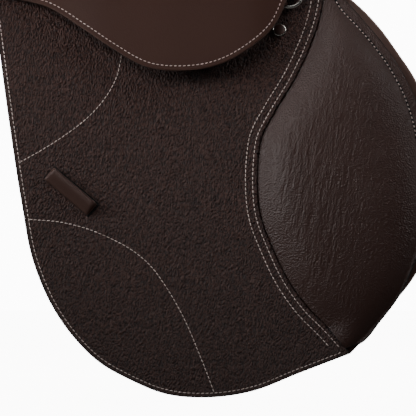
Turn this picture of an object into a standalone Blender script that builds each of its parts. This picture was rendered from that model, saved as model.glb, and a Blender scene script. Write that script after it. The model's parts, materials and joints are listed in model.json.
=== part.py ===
"""An english saddle: spring tree, seat, panels, flaps, skirts, girth straps and fittings.

Metres. +X points at the pommel, +Y at the horse's left, +Z up. The origin lies on the plane of
symmetry, over the horse's spine. Side pieces are made twice, with side = 1 on the left and -1 on
the right. Leather sheets are drawn flat, seen from the side, and then laid on the drape surface.
"""

import math

import bmesh
import bpy
from mathutils import Matrix, Vector

# Overall sizes
SEAT_FRONT = 0.205  # x of the pommel's face
SEAT_REAR = -0.237  # x of the cantle's face
POMMEL_TOP = 0.135
SEAT_DIP = 0.080  # height of the lowest point of the seat
CANTLE_TOP = 0.163
SEAT_WAIST = 0.0765  # half of the seat's width where the skirts start
SEAT_WIDEST = 0.145  # half of the seat's width at the cantle

# The drape surface, which the flaps' inner faces follow
HINGE_Y = 0.083  # where the flap leaves the seat
HINGE_Z = 0.072
FLAP_BOTTOM = -0.290
DRAPE_SLOPE = 0.23  # sideways run for each metre down, on the straight lower part
DRAPE_BULGE = 0.032  # extra width that the rounded upper part adds
DRAPE_ROUND = 0.160  # height of the rounded upper part

# Leather and layers: offsets from the drape surface, outwards positive
LINING_THICK = 0.0020
FLAP_THICK = 0.0025
SKIRT_THICK = 0.0030
SWEAT_THICK = 0.0035
STRAP_THICK = 0.0035
TOUCH = 0.0003  # clearance left between pieces that touch
STRAP_DEPTH = 0.0105  # drape surface to the inner face of the girth straps
SWEAT_DEPTH = 0.0180  # drape surface to the inner face of the sweat flap
PAD_RISE = 0.0080  # how far the knee pad stands above the flap lining
SKIRT_RISE = 0.0118  # how far the skirt is lifted by the stirrup bar
SKIRT_RAMP = 0.024  # height over which the skirt rises from its hinge

# Girth straps
STRAP_WIDTH = 0.025
STRAP_GAP = 0.007
STRAP_REAR_X = 0.051
STRAP_TOP = 0.012
STRAP_BOTTOM = FLAP_BOTTOM + 0.050
HOLE_RADIUS = 0.0025
HOLE_PITCH = 0.0254
HOLE_COUNT = 6
FIRST_HOLE = 0.022  # strap end to the first hole
SKIVE_TOP = STRAP_BOTTOM + 0.0235
SKIVE_RUN = 0.0030
SKIVE_DEPTH = 0.0005
GUARD_WALL = 0.0022
GUARD_HEIGHT = 0.085
GUARD_LOW = STRAP_BOTTOM + 0.035
GUARD_MARGIN = 0.006
GUARD_BAND = 0.020

# Stirrup bar, placed by its height on the drape surface
BAR_DROP = 0.050  # hinge line to the middle of the bar
BAR_FRONT = 0.160
BAR_LENGTH = 0.078
BAR_HEIGHT = 0.012
BAR_THICK = 0.005
BAR_OUT = 0.0085  # drape surface to the bar's inner face
BAR_PLATE = 0.0035
CATCH_LENGTH = 0.022

# Stirrup-leather keeper
KEEPER_X = 0.0349
KEEPER_Z = -0.1365
KEEPER_LENGTH = 0.043
KEEPER_WIDTH = 0.0112
KEEPER_THICK = 0.0020
KEEPER_CLEAR = 0.0045
KEEPER_ANGLE = 41.0

# Rings
FRONT_DEE_X = 0.1995
FRONT_DEE_Z = 0.0195  # height of the ring's bar
FRONT_DEE_WIDTH = 0.0185
REAR_DEE_Y = 0.055
REAR_DEE_Z = 0.106
REAR_DEE_WIDTH = 0.026
DEE_WIRE = 0.0014
CHAPE_WALL = 0.0016

# Panels and tree
CHANNEL = 0.035  # half of the gap over the spine
PANEL_THICK = 0.036
TREE_BOARD = 0.012
HEAD_REAR = 0.150
HEAD_DEPTH = 0.026
RAIL_WIDTH = 0.028
RAIL_Y = 0.060
RAIL_THICK = 0.009
WEB_THICK = 0.0025
NAIL_RADIUS = 0.0053
NAIL_X = 0.19125
NAIL_Z = -0.0150
POMMEL_NAIL_Y = 0.050
POMMEL_NAIL_Z = 0.086

# Side outlines, as (x, z) points. A third item, "v", marks a corner.
FLAP_REAR_EDGE = [
    (-0.032, 0.0690, "v"), (-0.0275, 0.030), (-0.0225, -0.005), (-0.0180, -0.0375), (-0.0105, -0.0900),
    (-0.0015, -0.1462), (0.0068, -0.1875), (0.0232, -0.2250), (0.0383, -0.2460), (0.0570, -0.2640),
    (0.0795, -0.2767), (0.1057, -0.2872), (0.1380, -0.2900), (0.1695, -0.2857), (0.2070, -0.2715),
]
FLAP_TIP = (0.2445, -0.2572, "v")
GRAIN_FRONT_EDGE = [
    (0.2272, -0.2378), (0.2122, -0.2228), (0.1980, -0.2032), (0.1860, -0.1785), (0.1770, -0.1537),
    (0.1748, -0.1320), (0.1755, -0.1117), (0.1777, -0.0967), (0.1875, -0.0772), (0.2025, -0.0525),
    (0.2145, -0.0270), (0.2205, -0.0105), (0.2245, 0.0070), (0.2250, 0.0400), (0.2200, 0.0690, "v"),
]
FLAP_FRONT_EDGE = [
    (0.2670, -0.2333), (0.2812, -0.2145), (0.2920, -0.1920), (0.3010, -0.1620), (0.3040, -0.1300),
    (0.3010, -0.0950), (0.2932, -0.0660), (0.2805, -0.0405), (0.2685, -0.0232), (0.2573, -0.0097),
    (0.2420, 0.0075), (0.2330, 0.0300), (0.2290, 0.0500), (0.2250, 0.0690, "v"),
]
SKIRT_EDGE = [
    (-0.046, 0.0700, "v"), (-0.0445, 0.0400), (-0.0390, 0.0200), (-0.0180, 0.0105), (0.0037, 0.0067),
    (0.0143, 0.0037), (0.0457, -0.0150), (0.0645, -0.0277), (0.0945, -0.0435), (0.1170, -0.0457),
    (0.1433, -0.0420), (0.1695, -0.0285), (0.1882, -0.0112), (0.1972, 0.0075), (0.2040, 0.0280),
    (0.2075, 0.0480), (0.2080, 0.0700, "v"),
]
SWEAT_EDGE = [
    (-0.020, 0.0180, "v"), (-0.0160, -0.0300), (-0.0060, -0.0950), (0.0030, -0.1500), (0.0150, -0.2000),
    (0.0400, -0.2350), (0.0850, -0.2620), (0.1380, -0.2720), (0.1900, -0.2640), (0.2400, -0.2450),
    (0.2812, -0.2150), (0.2940, -0.1980), (0.3080, -0.1640), (0.3110, -0.1300), (0.3080, -0.0900),
    (0.2940, -0.0510), (0.2813, -0.0315), (0.2685, -0.0135), (0.2500, 0.0060), (0.2350, 0.0180, "v"),
]
KNEE_BLOCK_EDGE = [
    (0.2080, -0.0350), (0.2260, -0.0300), (0.2560, -0.0560), (0.2730, -0.0950), (0.2760, -0.1350),
    (0.2660, -0.1750), (0.2440, -0.2050), (0.2260, -0.2080), (0.2290, -0.1700), (0.2330, -0.1250),
    (0.2240, -0.0800),
]
THIGH_BLOCK_EDGE = [
    (0.0010, -0.0850), (0.0090, -0.0830), (0.0130, -0.1200), (0.0175, -0.1650), (0.0165, -0.1800),
    (0.0110, -0.1750), (0.0050, -0.1400),
]
POINT_POCKET_EDGE = [
    (0.1440, 0.0100), (0.1720, 0.0110), (0.1840, -0.0100), (0.1830, -0.0550), (0.1640, -0.0720),
    (0.1450, -0.0550), (0.1420, -0.0150),
]

DRAWN_DEPTH = 0.362  # hinge line to flap bottom, as the outlines above are drawn


def sized(outline):
    """An outline stretched downwards from the hinge line to suit FLAP_BOTTOM."""
    stretch = (HINGE_Z - FLAP_BOTTOM) / DRAWN_DEPTH
    return [(spot[0], HINGE_Z - (HINGE_Z - spot[1]) * stretch, *spot[2:]) for spot in outline]


SIDES = (("l", 1), ("r", -1))


def clear_scene():
    for obj in list(bpy.data.objects):
        bpy.data.objects.remove(obj)


clear_scene()
parts = bpy.data.collections.new("english_saddle")
cutters = bpy.data.collections.new("cutters")
for group in (parts, cutters):
    bpy.context.scene.collection.children.link(group)


def finish(name):
    """A Principled material from the finish's colour, roughness and metallic value."""
    looks = {
        "bridle_leather": ((0.041, 0.022, 0.017, 1), 0.55, 0.0),
        "smooth_leather": ((0.051, 0.030, 0.025, 1), 0.40, 0.0),
        "strap_leather": ((0.060, 0.030, 0.020, 1), 0.60, 0.0),
        "steel": ((0.55, 0.55, 0.53, 1), 0.30, 1.0),
        "laminated_beech": ((0.45, 0.30, 0.17, 1), 0.60, 0.0),
        "web": ((0.55, 0.48, 0.36, 1), 0.90, 0.0),
        "foam": ((0.75, 0.70, 0.58, 1), 0.95, 0.0),
    }
    colour, rough, metal = looks[name]
    material = bpy.data.materials.get(name) or bpy.data.materials.new(name)
    material.use_nodes = True
    shader = material.node_tree.nodes["Principled BSDF"]
    shader.inputs["Base Color"].default_value = colour
    shader.inputs["Roughness"].default_value = rough
    shader.inputs["Metallic"].default_value = metal
    return material


def keep(mesh, name, material, smooth=True):
    """Puts a mesh in the scene as one named sub-part."""
    obj = bpy.data.objects.new(name, mesh)
    parts.objects.link(obj)
    mesh.materials.clear()
    mesh.materials.append(finish(material))
    if smooth:
        mesh.shade_smooth()
        mesh.set_sharp_from_angle(angle=math.radians(35))
    return obj


def blend_points(points, x):
    """The value at x of a smooth curve through (x, value) points, which rise in x."""
    if x <= points[0][0]:
        return points[0][1]
    for (x0, y0), (x1, y1) in zip(points, points[1:]):
        if x <= x1:
            share = (x - x0) / (x1 - x0)
            return y0 + (y1 - y0) * share * share * (3 - 2 * share)
    return points[-1][1]


def ease(value):
    share = min(max(value, 0.0), 1.0)
    return share * share * (3 - 2 * share)


def drape(drop):
    """(half-width, slope) of the drape surface at a distance below the hinge line."""
    left = max(0.0, 1 - drop / DRAPE_ROUND)
    width = HINGE_Y + DRAPE_SLOPE * drop + DRAPE_BULGE * (1 - left * left)
    return width, DRAPE_SLOPE + 2 * DRAPE_BULGE / DRAPE_ROUND * left


def on_drape(x, z, offset, side):
    """The point at offset from the drape surface that is seen at (x, z) from the side."""
    base = z
    for _ in range(4):
        slope = drape(HINGE_Z - base)[1]
        base = z - offset * slope / math.hypot(1, slope)
    width, slope = drape(HINGE_Z - base)
    return Vector((x, side * (width + offset / math.hypot(1, slope)), z))


def frame_at(x, z, offset, side):
    """A matrix at a point of the drape: X along the saddle, Y outwards, Z up the leather."""
    here = on_drape(x, z, offset, side)
    slope = drape(HINGE_Z - z)[1]
    out = Vector((0, side, slope)).normalized()
    up = Vector((0, -side * slope, 1)).normalized()
    turn = Matrix((Vector((1, 0, 0)), out, up)).transposed().to_4x4()
    return Matrix.Translation(here) @ turn


def flat_outline(loops, half, resolution=3):
    """A mesh of a filled 2D outline with thickness 2 * half, in the XY plane; later loops are holes."""
    curve = bpy.data.curves.new("outline", "CURVE")
    curve.dimensions = "2D"
    curve.fill_mode = "BOTH"
    curve.extrude = half
    curve.resolution_u = resolution
    for loop in loops:
        spline = curve.splines.new("BEZIER")
        spline.bezier_points.add(len(loop) - 1)
        for point, spot in zip(spline.bezier_points, loop):
            point.co = (spot[0], spot[1], 0)
            kind = "VECTOR" if len(spot) > 2 else "AUTO"
            point.handle_left_type = kind
            point.handle_right_type = kind
        spline.use_cyclic_u = True
    guide = bpy.data.objects.new("outline", curve)
    bpy.context.scene.collection.objects.link(guide)
    graph = bpy.context.evaluated_depsgraph_get()
    mesh = bpy.data.meshes.new_from_object(guide.evaluated_get(graph))
    bpy.data.objects.remove(guide)
    shape = bmesh.new()
    shape.from_mesh(mesh)
    bmesh.ops.remove_doubles(shape, verts=shape.verts, dist=0.00002)
    bmesh.ops.recalc_face_normals(shape, faces=shape.faces)
    shape.to_mesh(mesh)
    shape.free()
    return mesh


def cut_across(shape, heights):
    for height in heights:
        everything = shape.verts[:] + shape.edges[:] + shape.faces[:]
        bmesh.ops.bisect_plane(shape, geom=everything, plane_co=(0, height, 0), plane_no=(0, 1, 0))


def stations(top, bottom, step=0.020):
    """Heights where a sheet bends: every step down the rounded part, and at its end."""
    last = HINGE_Z - DRAPE_ROUND
    count = math.ceil(DRAPE_ROUND / step)
    heights = [HINGE_Z - DRAPE_ROUND * index / count for index in range(1, count)] + [last]
    return [height for height in heights if bottom + 0.002 < height < top - 0.002]


def place(mesh, where, flip):
    """Moves each vertex by a function of its flat place, and keeps the faces pointing out."""
    shape = bmesh.new()
    shape.from_mesh(mesh)
    for vertex in shape.verts:
        vertex.co = where(*vertex.co)
    if flip:
        bmesh.ops.reverse_faces(shape, faces=shape.faces)
    shape.to_mesh(mesh)
    shape.free()


def sheet(name, loops, inner, thick, side, material, lift=None, resolution=2, cuts=(),
          levels=()):
    """A leather sheet on the drape, from the offset inner outwards, with lift(x, z) added to it."""
    mesh = flat_outline(loops, 0.5, resolution)
    heights = [spot[1] for spot in loops[0]]
    shape = bmesh.new()
    shape.from_mesh(mesh)
    cut_across(shape, stations(max(heights), min(heights)) + list(levels))
    for x in cuts:
        everything = shape.verts[:] + shape.edges[:] + shape.faces[:]
        bmesh.ops.bisect_plane(shape, geom=everything, plane_co=(x, 0, 0), plane_no=(1, 0, 0))
    shape.to_mesh(mesh)
    shape.free()

    def laid(x, z, level):
        rise = lift(x, z) if lift else 0.0
        wall = thick(x, z) if callable(thick) else thick
        return on_drape(x, z, inner + rise + wall * (level + 0.5), side)

    place(mesh, laid, side > 0)
    return keep(mesh, name, material)


def block(name, cuts, where, material, flip=False):
    """A cube of cuts[0] x cuts[1] x cuts[2] cells whose points where(a, b, c) moves, a to c from 0 to 1."""
    shape = bmesh.new()
    bmesh.ops.create_cube(shape, size=1)
    for axis, count in enumerate(cuts):
        along = [
            edge for edge in shape.edges
            if abs(edge.verts[0].co[axis] - edge.verts[1].co[axis]) > 0.01
        ]
        if count > 1:
            bmesh.ops.subdivide_edges(shape, edges=along, cuts=count - 1, use_grid_fill=True)
    for vertex in shape.verts:
        vertex.co = where(*(value + 0.5 for value in vertex.co))
    if flip:
        bmesh.ops.reverse_faces(shape, faces=shape.faces)
    mesh = bpy.data.meshes.new(name)
    shape.to_mesh(mesh)
    shape.free()
    return keep(mesh, name, material)


# Seat

def from_rear(*points):
    """(x, value) points from (share of the seat's length, value) ones, the share counted from the rear."""
    return [(SEAT_REAR + (SEAT_FRONT - SEAT_REAR) * share, value) for share, value in points]


SEAT_EDGE_Z = from_rear((0, 0.128), (0.106, 0.108), (0.287, 0.080), (0.434, 0.070), (0.853, 0.070), (1, 0.074))
SEAT_HALF = from_rear(
    (0.118, SEAT_WIDEST), (0.310, 0.5 * (SEAT_WIDEST + SEAT_WAIST) - 0.007), (0.423, SEAT_WAIST),
    (0.853, SEAT_WAIST), (1, SEAT_WAIST - 0.0105),
)
SEAT_CROWN = from_rear(
    (0, CANTLE_TOP - 0.008), (0.050, CANTLE_TOP), (0.287, 0.096), (0.480, SEAT_DIP),
    (0.672, 0.090), (0.943, POMMEL_TOP), (1, POMMEL_TOP - 0.006),
)
CANTLE_ROUND = 0.045  # how far the cantle's corners lie ahead of its middle
POMMEL_ROUND = 0.018  # how far the pommel's corners lie behind its middle
COVER_THICK = 0.0030
COVER_RIM = 0.006  # how far the cover turns down past the foam's edge
FOAM_GAP = 0.008  # seat's outer surface to the foam


def seat_plan(length, across):
    """(x, y) on the seat's outline plan: length from 0 at the rear to 1, across from -1 to 1."""
    rear = SEAT_REAR + CANTLE_ROUND * abs(across) ** 2.5
    front = SEAT_FRONT - POMMEL_ROUND * across * across
    x = rear + (front - rear) * length
    return x, across * blend_points(SEAT_HALF, x)


def seat_top(x, across):
    crown = blend_points(SEAT_CROWN, x)
    edge = blend_points(SEAT_EDGE_Z, x) + COVER_RIM
    return edge + (crown - edge) * (1 - abs(across) ** 2.8)


def make_seat():
    across_cells, length_cells = 10, 18

    def cover_point(a, b, c):
        length = min(max((a * length_cells - 1) / (length_cells - 2), 0), 1)
        across = min(max((b * across_cells - 1) / (across_cells - 2), 0), 1) * 2 - 1
        rim = a in (0, 1) or abs(b - 0.5) > 0.499
        x, y = seat_plan(length, across)
        z = blend_points(SEAT_EDGE_Z, x) if rim else seat_top(x, across)
        if c < 0.5:
            x = 0.5 * (SEAT_FRONT + SEAT_REAR) + (x - 0.5 * (SEAT_FRONT + SEAT_REAR)) * 0.984
            y *= 1 - COVER_THICK / blend_points(SEAT_HALF, x)
            z -= 0 if rim else COVER_THICK
        return x, y, z

    block("seat_cover", (length_cells, across_cells, 1), cover_point, "smooth_leather")

    def foam_point(a, b, c):
        across = b * 2 - 1
        x, y = seat_plan(a, across)
        rear = SEAT_REAR + CANTLE_ROUND * abs(across) ** 2.5
        x = rear + 0.006 + (HEAD_REAR - 0.001 - rear - 0.006) * a
        y *= 1 - FOAM_GAP / abs(blend_points(SEAT_HALF, x))
        top = seat_top(x, across * 0.97) - FOAM_GAP
        floor = max(blend_points(SEAT_EDGE_Z, x) - 0.004, 0.062)
        return x, y, floor + (max(top, floor + 0.004) - floor) * c

    block("seat_foam", (12, 8, 2), foam_point, "foam")


def make_welts():
    """Piping along the lower edge of the seat, above each skirt's hinge line."""
    for tag, side in SIDES:
        curve = bpy.data.curves.new("welt", "CURVE")
        curve.dimensions = "3D"
        curve.bevel_depth = 0.0022
        curve.bevel_resolution = 1
        curve.use_fill_caps = True
        spline = curve.splines.new("POLY")
        count = 14
        spline.points.add(count - 1)
        for index, point in enumerate(spline.points):
            x = -0.047 + (0.180 + 0.047) * index / (count - 1)
            y = blend_points(SEAT_HALF, x) + 0.0036
            point.co = (x, side * y, blend_points(SEAT_EDGE_Z, x) + 0.0045, 1)
        guide = bpy.data.objects.new("welt", curve)
        bpy.context.scene.collection.objects.link(guide)
        keep(tube_mesh(guide), f"seat_welt_{tag}", "smooth_leather")


def tube_mesh(guide):
    """The mesh of a curve object with its caps welded; the curve is removed."""
    graph = bpy.context.evaluated_depsgraph_get()
    mesh = bpy.data.meshes.new_from_object(guide.evaluated_get(graph))
    mesh.transform(guide.matrix_world)
    bpy.data.objects.remove(guide)
    shape = bmesh.new()
    shape.from_mesh(mesh)
    bmesh.ops.remove_doubles(shape, verts=shape.verts, dist=0.00002)
    bmesh.ops.recalc_face_normals(shape, faces=shape.faces)
    shape.to_mesh(mesh)
    shape.free()
    return mesh


# Tree

RAIL_REAR = SEAT_REAR + 0.091
RAIL_LINE = from_rear((0.163, 0.0740), (0.287, 0.0520), (0.423, 0.0450), (0.672, 0.0450), (0.876, 0.0500))
CANTLE_ARC = 0.108  # radius of the cantle board's rear face
CANTLE_SET = 0.020  # how far the board lies inside the seat's rear
HEAD_TOP = [(0.0, 0.097), (0.045, 0.080), (0.080, 0.030), (0.104, -0.048)]


def make_tree():
    def head_point(a, b, c):
        along = abs(b * 2 - 1) * 3
        index = min(int(along), 2)
        share = along - index
        (y0, z0), (y1, z1) = HEAD_TOP[index], HEAD_TOP[index + 1]
        y = y0 + (y1 - y0) * share
        z = z0 + (z1 - z0) * share
        inset = TREE_BOARD * (1 - c)
        lean = (0.35, 0.62, 0.90, 1.0)[round(along)]
        return HEAD_REAR + HEAD_DEPTH * a, math.copysign(y - inset * lean, b - 0.5) if along else 0, \
            z - inset * math.sqrt(1 - min(lean, 0.95) ** 2) - (0.004 * (1 - c) if along == 0 else 0)

    block("tree_head", (1, 6, 1), head_point, "laminated_beech")

    def gullet_point(a, b, c):
        x, y, z = head_point(a, 0.5 + (b - 0.5) * 0.93, c)
        return HEAD_REAR + HEAD_DEPTH + TOUCH + 0.0025 * a, y, z

    block("gullet_plate", (1, 6, 1), gullet_point, "steel")

    for tag, side in SIDES:
        def rail_point(a, b, c, side=side):
            x = RAIL_REAR + (HEAD_REAR - TOUCH - RAIL_REAR) * a
            splay = RAIL_Y + 0.012 * (1 - a) ** 2
            y = side * (splay + RAIL_WIDTH * (b - 0.5))
            return x, y, blend_points(RAIL_LINE, x) + RAIL_THICK * (c - 0.5)

        block(f"tree_rail_{tag}", (10, 1, 1), rail_point, "laminated_beech", side < 0)

    def cantle_point(a, b, c):
        angle = math.radians(180 * 0.80) * (b - 0.5)
        reach = CANTLE_ARC - TREE_BOARD * a
        x = SEAT_REAR + CANTLE_SET + CANTLE_ARC - reach * math.cos(angle)
        y = reach * math.sin(angle)
        top = blend_points(SEAT_EDGE_Z, x) - 0.0090
        return x, y, top - 0.030 * (1 - c)

    block("tree_cantle", (1, 16, 1), cantle_point, "laminated_beech")

    def web_point(a, b, c):
        x = RAIL_REAR + 0.002 + (0.120 - RAIL_REAR) * a
        y = 0.044 * (b * 2 - 1)
        return x, y, blend_points(RAIL_LINE, x) + RAIL_THICK / 2 + 2 * TOUCH + 0.0027 + WEB_THICK * c

    block("seat_web", (10, 1, 1), web_point, "web")
    for name, x0 in (("cross_web_front", 0.085), ("cross_web_rear", -0.020)):
        def cross_point(a, b, c, x0=x0):
            x = x0 + 0.050 * a
            y = (RAIL_Y + RAIL_WIDTH / 2) * (b * 2 - 1)
            return x, y, blend_points(RAIL_LINE, x) + RAIL_THICK / 2 + TOUCH + 0.0022 * c

        block(name, (4, 1, 1), cross_point, "web")


# Panels

PANEL_FLOOR = from_rear((-0.018, 0.036), (0.084, 0.026), (0.310, 0.006), (0.581, 0.000), (0.785, 0.006), (1, 0.016))
PANEL_SLOPE = from_rear((-0.018, 0.30), (0.265, 0.38), (0.581, 0.55), (0.808, 1.05), (1, 1.20))
PANEL_REACH = from_rear((-0.018, 0.045), (0.084, 0.070), (0.310, 0.078), (0.581, 0.070), (0.808, 0.050), (1, 0.036))
PANEL_DEPTH = from_rear(
    (-0.018, PANEL_THICK - 0.006), (0.106, PANEL_THICK + 0.012), (0.333, PANEL_THICK + 0.005),
    (0.581, PANEL_THICK), (1, PANEL_THICK),
)
PANEL_TAIL = 0.008  # how far the panels reach behind the seat


def make_panels():
    for tag, side in SIDES:
        def panel_point(a, b, c, side=side):
            x = SEAT_REAR - PANEL_TAIL + (SEAT_FRONT - 0.010 - SEAT_REAR + PANEL_TAIL) * a
            reach = blend_points(PANEL_REACH, x)
            y = CHANNEL + reach * b
            floor = blend_points(PANEL_FLOOR, x) - blend_points(PANEL_SLOPE, x) * reach * b
            full = (1 - abs(2 * b - 1) ** 3.0) ** 0.5 * (1 - abs(2 * a - 1) ** 12) ** 0.5
            depth = blend_points(PANEL_DEPTH, x) * (0.30 + 0.70 * full)
            middle = floor + 0.5 * blend_points(PANEL_DEPTH, x)
            return x, side * y, middle + depth * (c - 0.5)

        block(f"panel_{tag}", (16, 6, 2), panel_point, "smooth_leather", side < 0)


# Flaps and skirts

def bar_window():
    """The slot in the flap that the stirrup bar stands through."""
    low, high = HINGE_Z - BAR_DROP - 0.014, HINGE_Z - BAR_DROP + 0.009
    rear = BAR_FRONT - BAR_LENGTH - CATCH_LENGTH - 0.006
    front = BAR_FRONT + 0.006
    return [(rear, low, "v"), (front, low, "v"), (front, high, "v"), (rear, high, "v")]


def skirt_lift(x, z):
    """How far the skirt stands off the flap, over the stirrup bar and its ring."""
    rear = ease((x + 0.020) / 0.080)
    front = 1 - 0.35 * ease((x - 0.170) / 0.030)
    return SKIRT_RISE * rear * front * ease((HINGE_Z - z) / SKIRT_RAMP)


def pad_wall(x, z):
    """The knee pad's thickness: thin along its edges, full in its middle."""
    near = min(math.hypot(x - px, z - pz) for px, pz in PAD_RIM)
    return 0.0030 + (PAD_RISE - 0.0030) * ease(near / 0.018)


PAD_EDGE = (
    [(0.2410, -0.2480)] + [(x - 0.0040, z) for x, z in FLAP_FRONT_EDGE[:-3]]
    + [(0.2340, 0.0130), (0.2285, 0.0100)]
    + [(x + 0.0012, z + 0.0008) for x, z in reversed(GRAIN_FRONT_EDGE[:-3])]
)
PAD_EDGE = sized(PAD_EDGE)
PAD_RIM = [spot[:2] for spot in PAD_EDGE]
LAYER = LINING_THICK + TOUCH
FLAP_OUT = LAYER + FLAP_THICK


def make_flaps():
    skin = sized(FLAP_REAR_EDGE + [FLAP_TIP])
    for tag, side in SIDES:
        sheet(f"flap_lining_{tag}", [skin + sized(FLAP_FRONT_EDGE), bar_window()], 0.0, LINING_THICK, side,
              "strap_leather")
        sheet(f"flap_{tag}", [skin + sized(GRAIN_FRONT_EDGE), bar_window()], LAYER, FLAP_THICK, side,
              "bridle_leather")
        sheet(f"knee_pad_{tag}", [PAD_EDGE], LAYER, pad_wall, side, "smooth_leather",
              resolution=1, cuts=(0.205, 0.230, 0.255, 0.280))
        sheet(f"skirt_{tag}", [SKIRT_EDGE], FLAP_OUT + TOUCH, SKIRT_THICK, side, "smooth_leather",
              lift=skirt_lift, resolution=2, cuts=(0.0, 0.020, 0.040, 0.060, 0.168, 0.185))
        sheet(f"sweat_flap_{tag}", [sized(SWEAT_EDGE)], -SWEAT_DEPTH, SWEAT_THICK, side, "bridle_leather")
        sweat_out = SWEAT_THICK - SWEAT_DEPTH + TOUCH
        sheet(f"knee_block_{tag}", [sized(KNEE_BLOCK_EDGE)], sweat_out, 0.0115, side, "smooth_leather", resolution=2)
        sheet(f"thigh_block_{tag}", [sized(THIGH_BLOCK_EDGE)], sweat_out, 0.0115, side, "smooth_leather", resolution=2)
        sheet(f"point_pocket_{tag}", [POINT_POCKET_EDGE], -SWEAT_DEPTH - TOUCH - 0.0022, 0.0022, side,
              "strap_leather", resolution=2)


# Girth straps and their guard

STRAP_XS = [STRAP_REAR_X + index * (STRAP_WIDTH + STRAP_GAP) for index in range(3)]
STRAP_NAMES = ("rear", "middle", "front")


def strap_outline(x):
    half = STRAP_WIDTH / 2
    end = [(x - half, STRAP_BOTTOM + 0.008, "v"), (x, STRAP_BOTTOM, "v"), (x + half, STRAP_BOTTOM + 0.008, "v")]
    outline = [(x - half, STRAP_TOP, "v")] + end + [(x + half, STRAP_TOP, "v")]
    holes = []
    for index in range(HOLE_COUNT):
        z = STRAP_BOTTOM + FIRST_HOLE + HOLE_PITCH * index
        turns = [math.radians(45 * step) for step in range(8)]
        holes.append([(x + HOLE_RADIUS * math.cos(t), z + HOLE_RADIUS * math.sin(t), "v") for t in turns])
    return [outline] + holes


def strap_wall(x, z):
    """A girth strap's thickness: its end is skived thinner, below the guard."""
    return STRAP_THICK - SKIVE_DEPTH * min(max((SKIVE_TOP - z) / SKIVE_RUN, 0), 1)


def make_straps():
    for tag, side in SIDES:
        for name, x in zip(STRAP_NAMES, STRAP_XS):
            sheet(f"girth_strap_{name}_{tag}", strap_outline(x), -STRAP_DEPTH, strap_wall, side,
                  "strap_leather", resolution=1, levels=(SKIVE_TOP, SKIVE_TOP - SKIVE_RUN))
        make_guard(tag, side)


def slab(low, high, base):
    """A box from its low to its high corner, in the frame base."""
    shape = bmesh.new()
    bmesh.ops.create_cube(shape, size=1)
    low, high = Vector(low), Vector(high)
    for vertex in shape.verts:
        share = vertex.co + Vector((0.5, 0.5, 0.5))
        vertex.co = base @ Vector(a + (b - a) * part for a, b, part in zip(low, high, share))
    shape.normal_update()
    bmesh.ops.recalc_face_normals(shape, faces=shape.faces)
    mesh = bpy.data.meshes.new("slab")
    shape.to_mesh(mesh)
    shape.free()
    return mesh


def cut(obj, mesh, name, operation="DIFFERENCE"):
    """Cuts a mesh from an object, or joins it on; the mesh stays in the scene as a hidden cutter."""
    cutter = bpy.data.objects.new(name, mesh)
    cutters.objects.link(cutter)
    cutter.hide_render = True
    cutter.display_type = "WIRE"
    step = obj.modifiers.new(name, "BOOLEAN")
    step.operation = operation
    step.object = cutter


def make_guard(tag, side):
    """A sleeve round the three straps, and an apron below it that covers the buckles."""
    middle = STRAP_XS[1]
    half = STRAP_XS[2] - middle + STRAP_WIDTH / 2 + GUARD_MARGIN
    strap_in, strap_out = -STRAP_DEPTH - TOUCH, -STRAP_DEPTH + STRAP_THICK + TOUCH
    outer = strap_out + GUARD_WALL
    base = frame_at(middle, GUARD_LOW, 0, side)
    top = GUARD_HEIGHT
    under = top - GUARD_BAND
    sleeve = slab((-half, strap_in - GUARD_WALL, under), (half, outer, top), base)
    guard = keep(sleeve, f"buckle_guard_{tag}", "strap_leather", smooth=False)
    for name, x in zip(STRAP_NAMES, STRAP_XS):
        left, right = x - middle - STRAP_WIDTH / 2 - TOUCH, x - middle + STRAP_WIDTH / 2 + TOUCH
        slot = slab((left, strap_in, under - 0.005), (right, strap_out, top + 0.005), base)
        cut(guard, slot, f"guard_slot_{name}_{tag}")
    sunk = GUARD_WALL / 4  # the apron meets the band inside its outer wall
    apron = slab((-half + 0.003, strap_out + sunk, 0), (half - 0.003, outer - sunk, under + 0.008), base)
    cut(guard, apron, f"guard_apron_{tag}", "UNION")


# Fittings

def solid_of(name, loops, half, matrix, material, flip=False, resolution=3):
    """A flat outline with thickness 2 * half, moved by a matrix."""
    mesh = flat_outline(loops, half, resolution)
    mesh.transform(matrix)
    if flip:
        mesh.flip_normals()
    return keep(mesh, name, material)


def bar_outline():
    """The stirrup bar seen from below: back plate, arm and bar, as (x, offset) corners."""
    rear = BAR_FRONT - BAR_LENGTH
    plate_in = -0.0065
    plate_out = plate_in + BAR_PLATE
    reach = BAR_OUT + BAR_THICK
    return [
        (rear, plate_in, "v"), (BAR_FRONT, plate_in, "v"), (BAR_FRONT, reach, "v"), (rear, reach, "v"),
        (rear, BAR_OUT, "v"), (BAR_FRONT - 0.008, BAR_OUT, "v"), (BAR_FRONT - 0.008, plate_out, "v"),
        (rear, plate_out, "v"),
    ]


def make_bars():
    for tag, side in SIDES:
        base = frame_at(0, HINGE_Z - BAR_DROP, 0, side)
        solid_of(f"stirrup_bar_{tag}", [bar_outline()], BAR_HEIGHT / 2, base, "steel", side < 0, 1)
        rear = BAR_FRONT - BAR_LENGTH
        half = BAR_HEIGHT / 2
        pivot, tip = rear - TOUCH - half, rear - CATCH_LENGTH + half
        turns = [math.radians(30 * step - 90) for step in range(7)]
        tongue = [(pivot + half * math.cos(t), half * math.sin(t), "v") for t in turns]
        tongue += [(tip - half * math.cos(t), -half * math.sin(t), "v") for t in turns]
        upright = Matrix(((1, 0, 0, 0), (0, 0, 1, BAR_OUT + BAR_THICK / 2), (0, 1, 0, 0), (0, 0, 0, 1)))
        solid_of(f"bar_catch_{tag}", [tongue], BAR_THICK / 2, base @ upright, "steel", side > 0)


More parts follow.
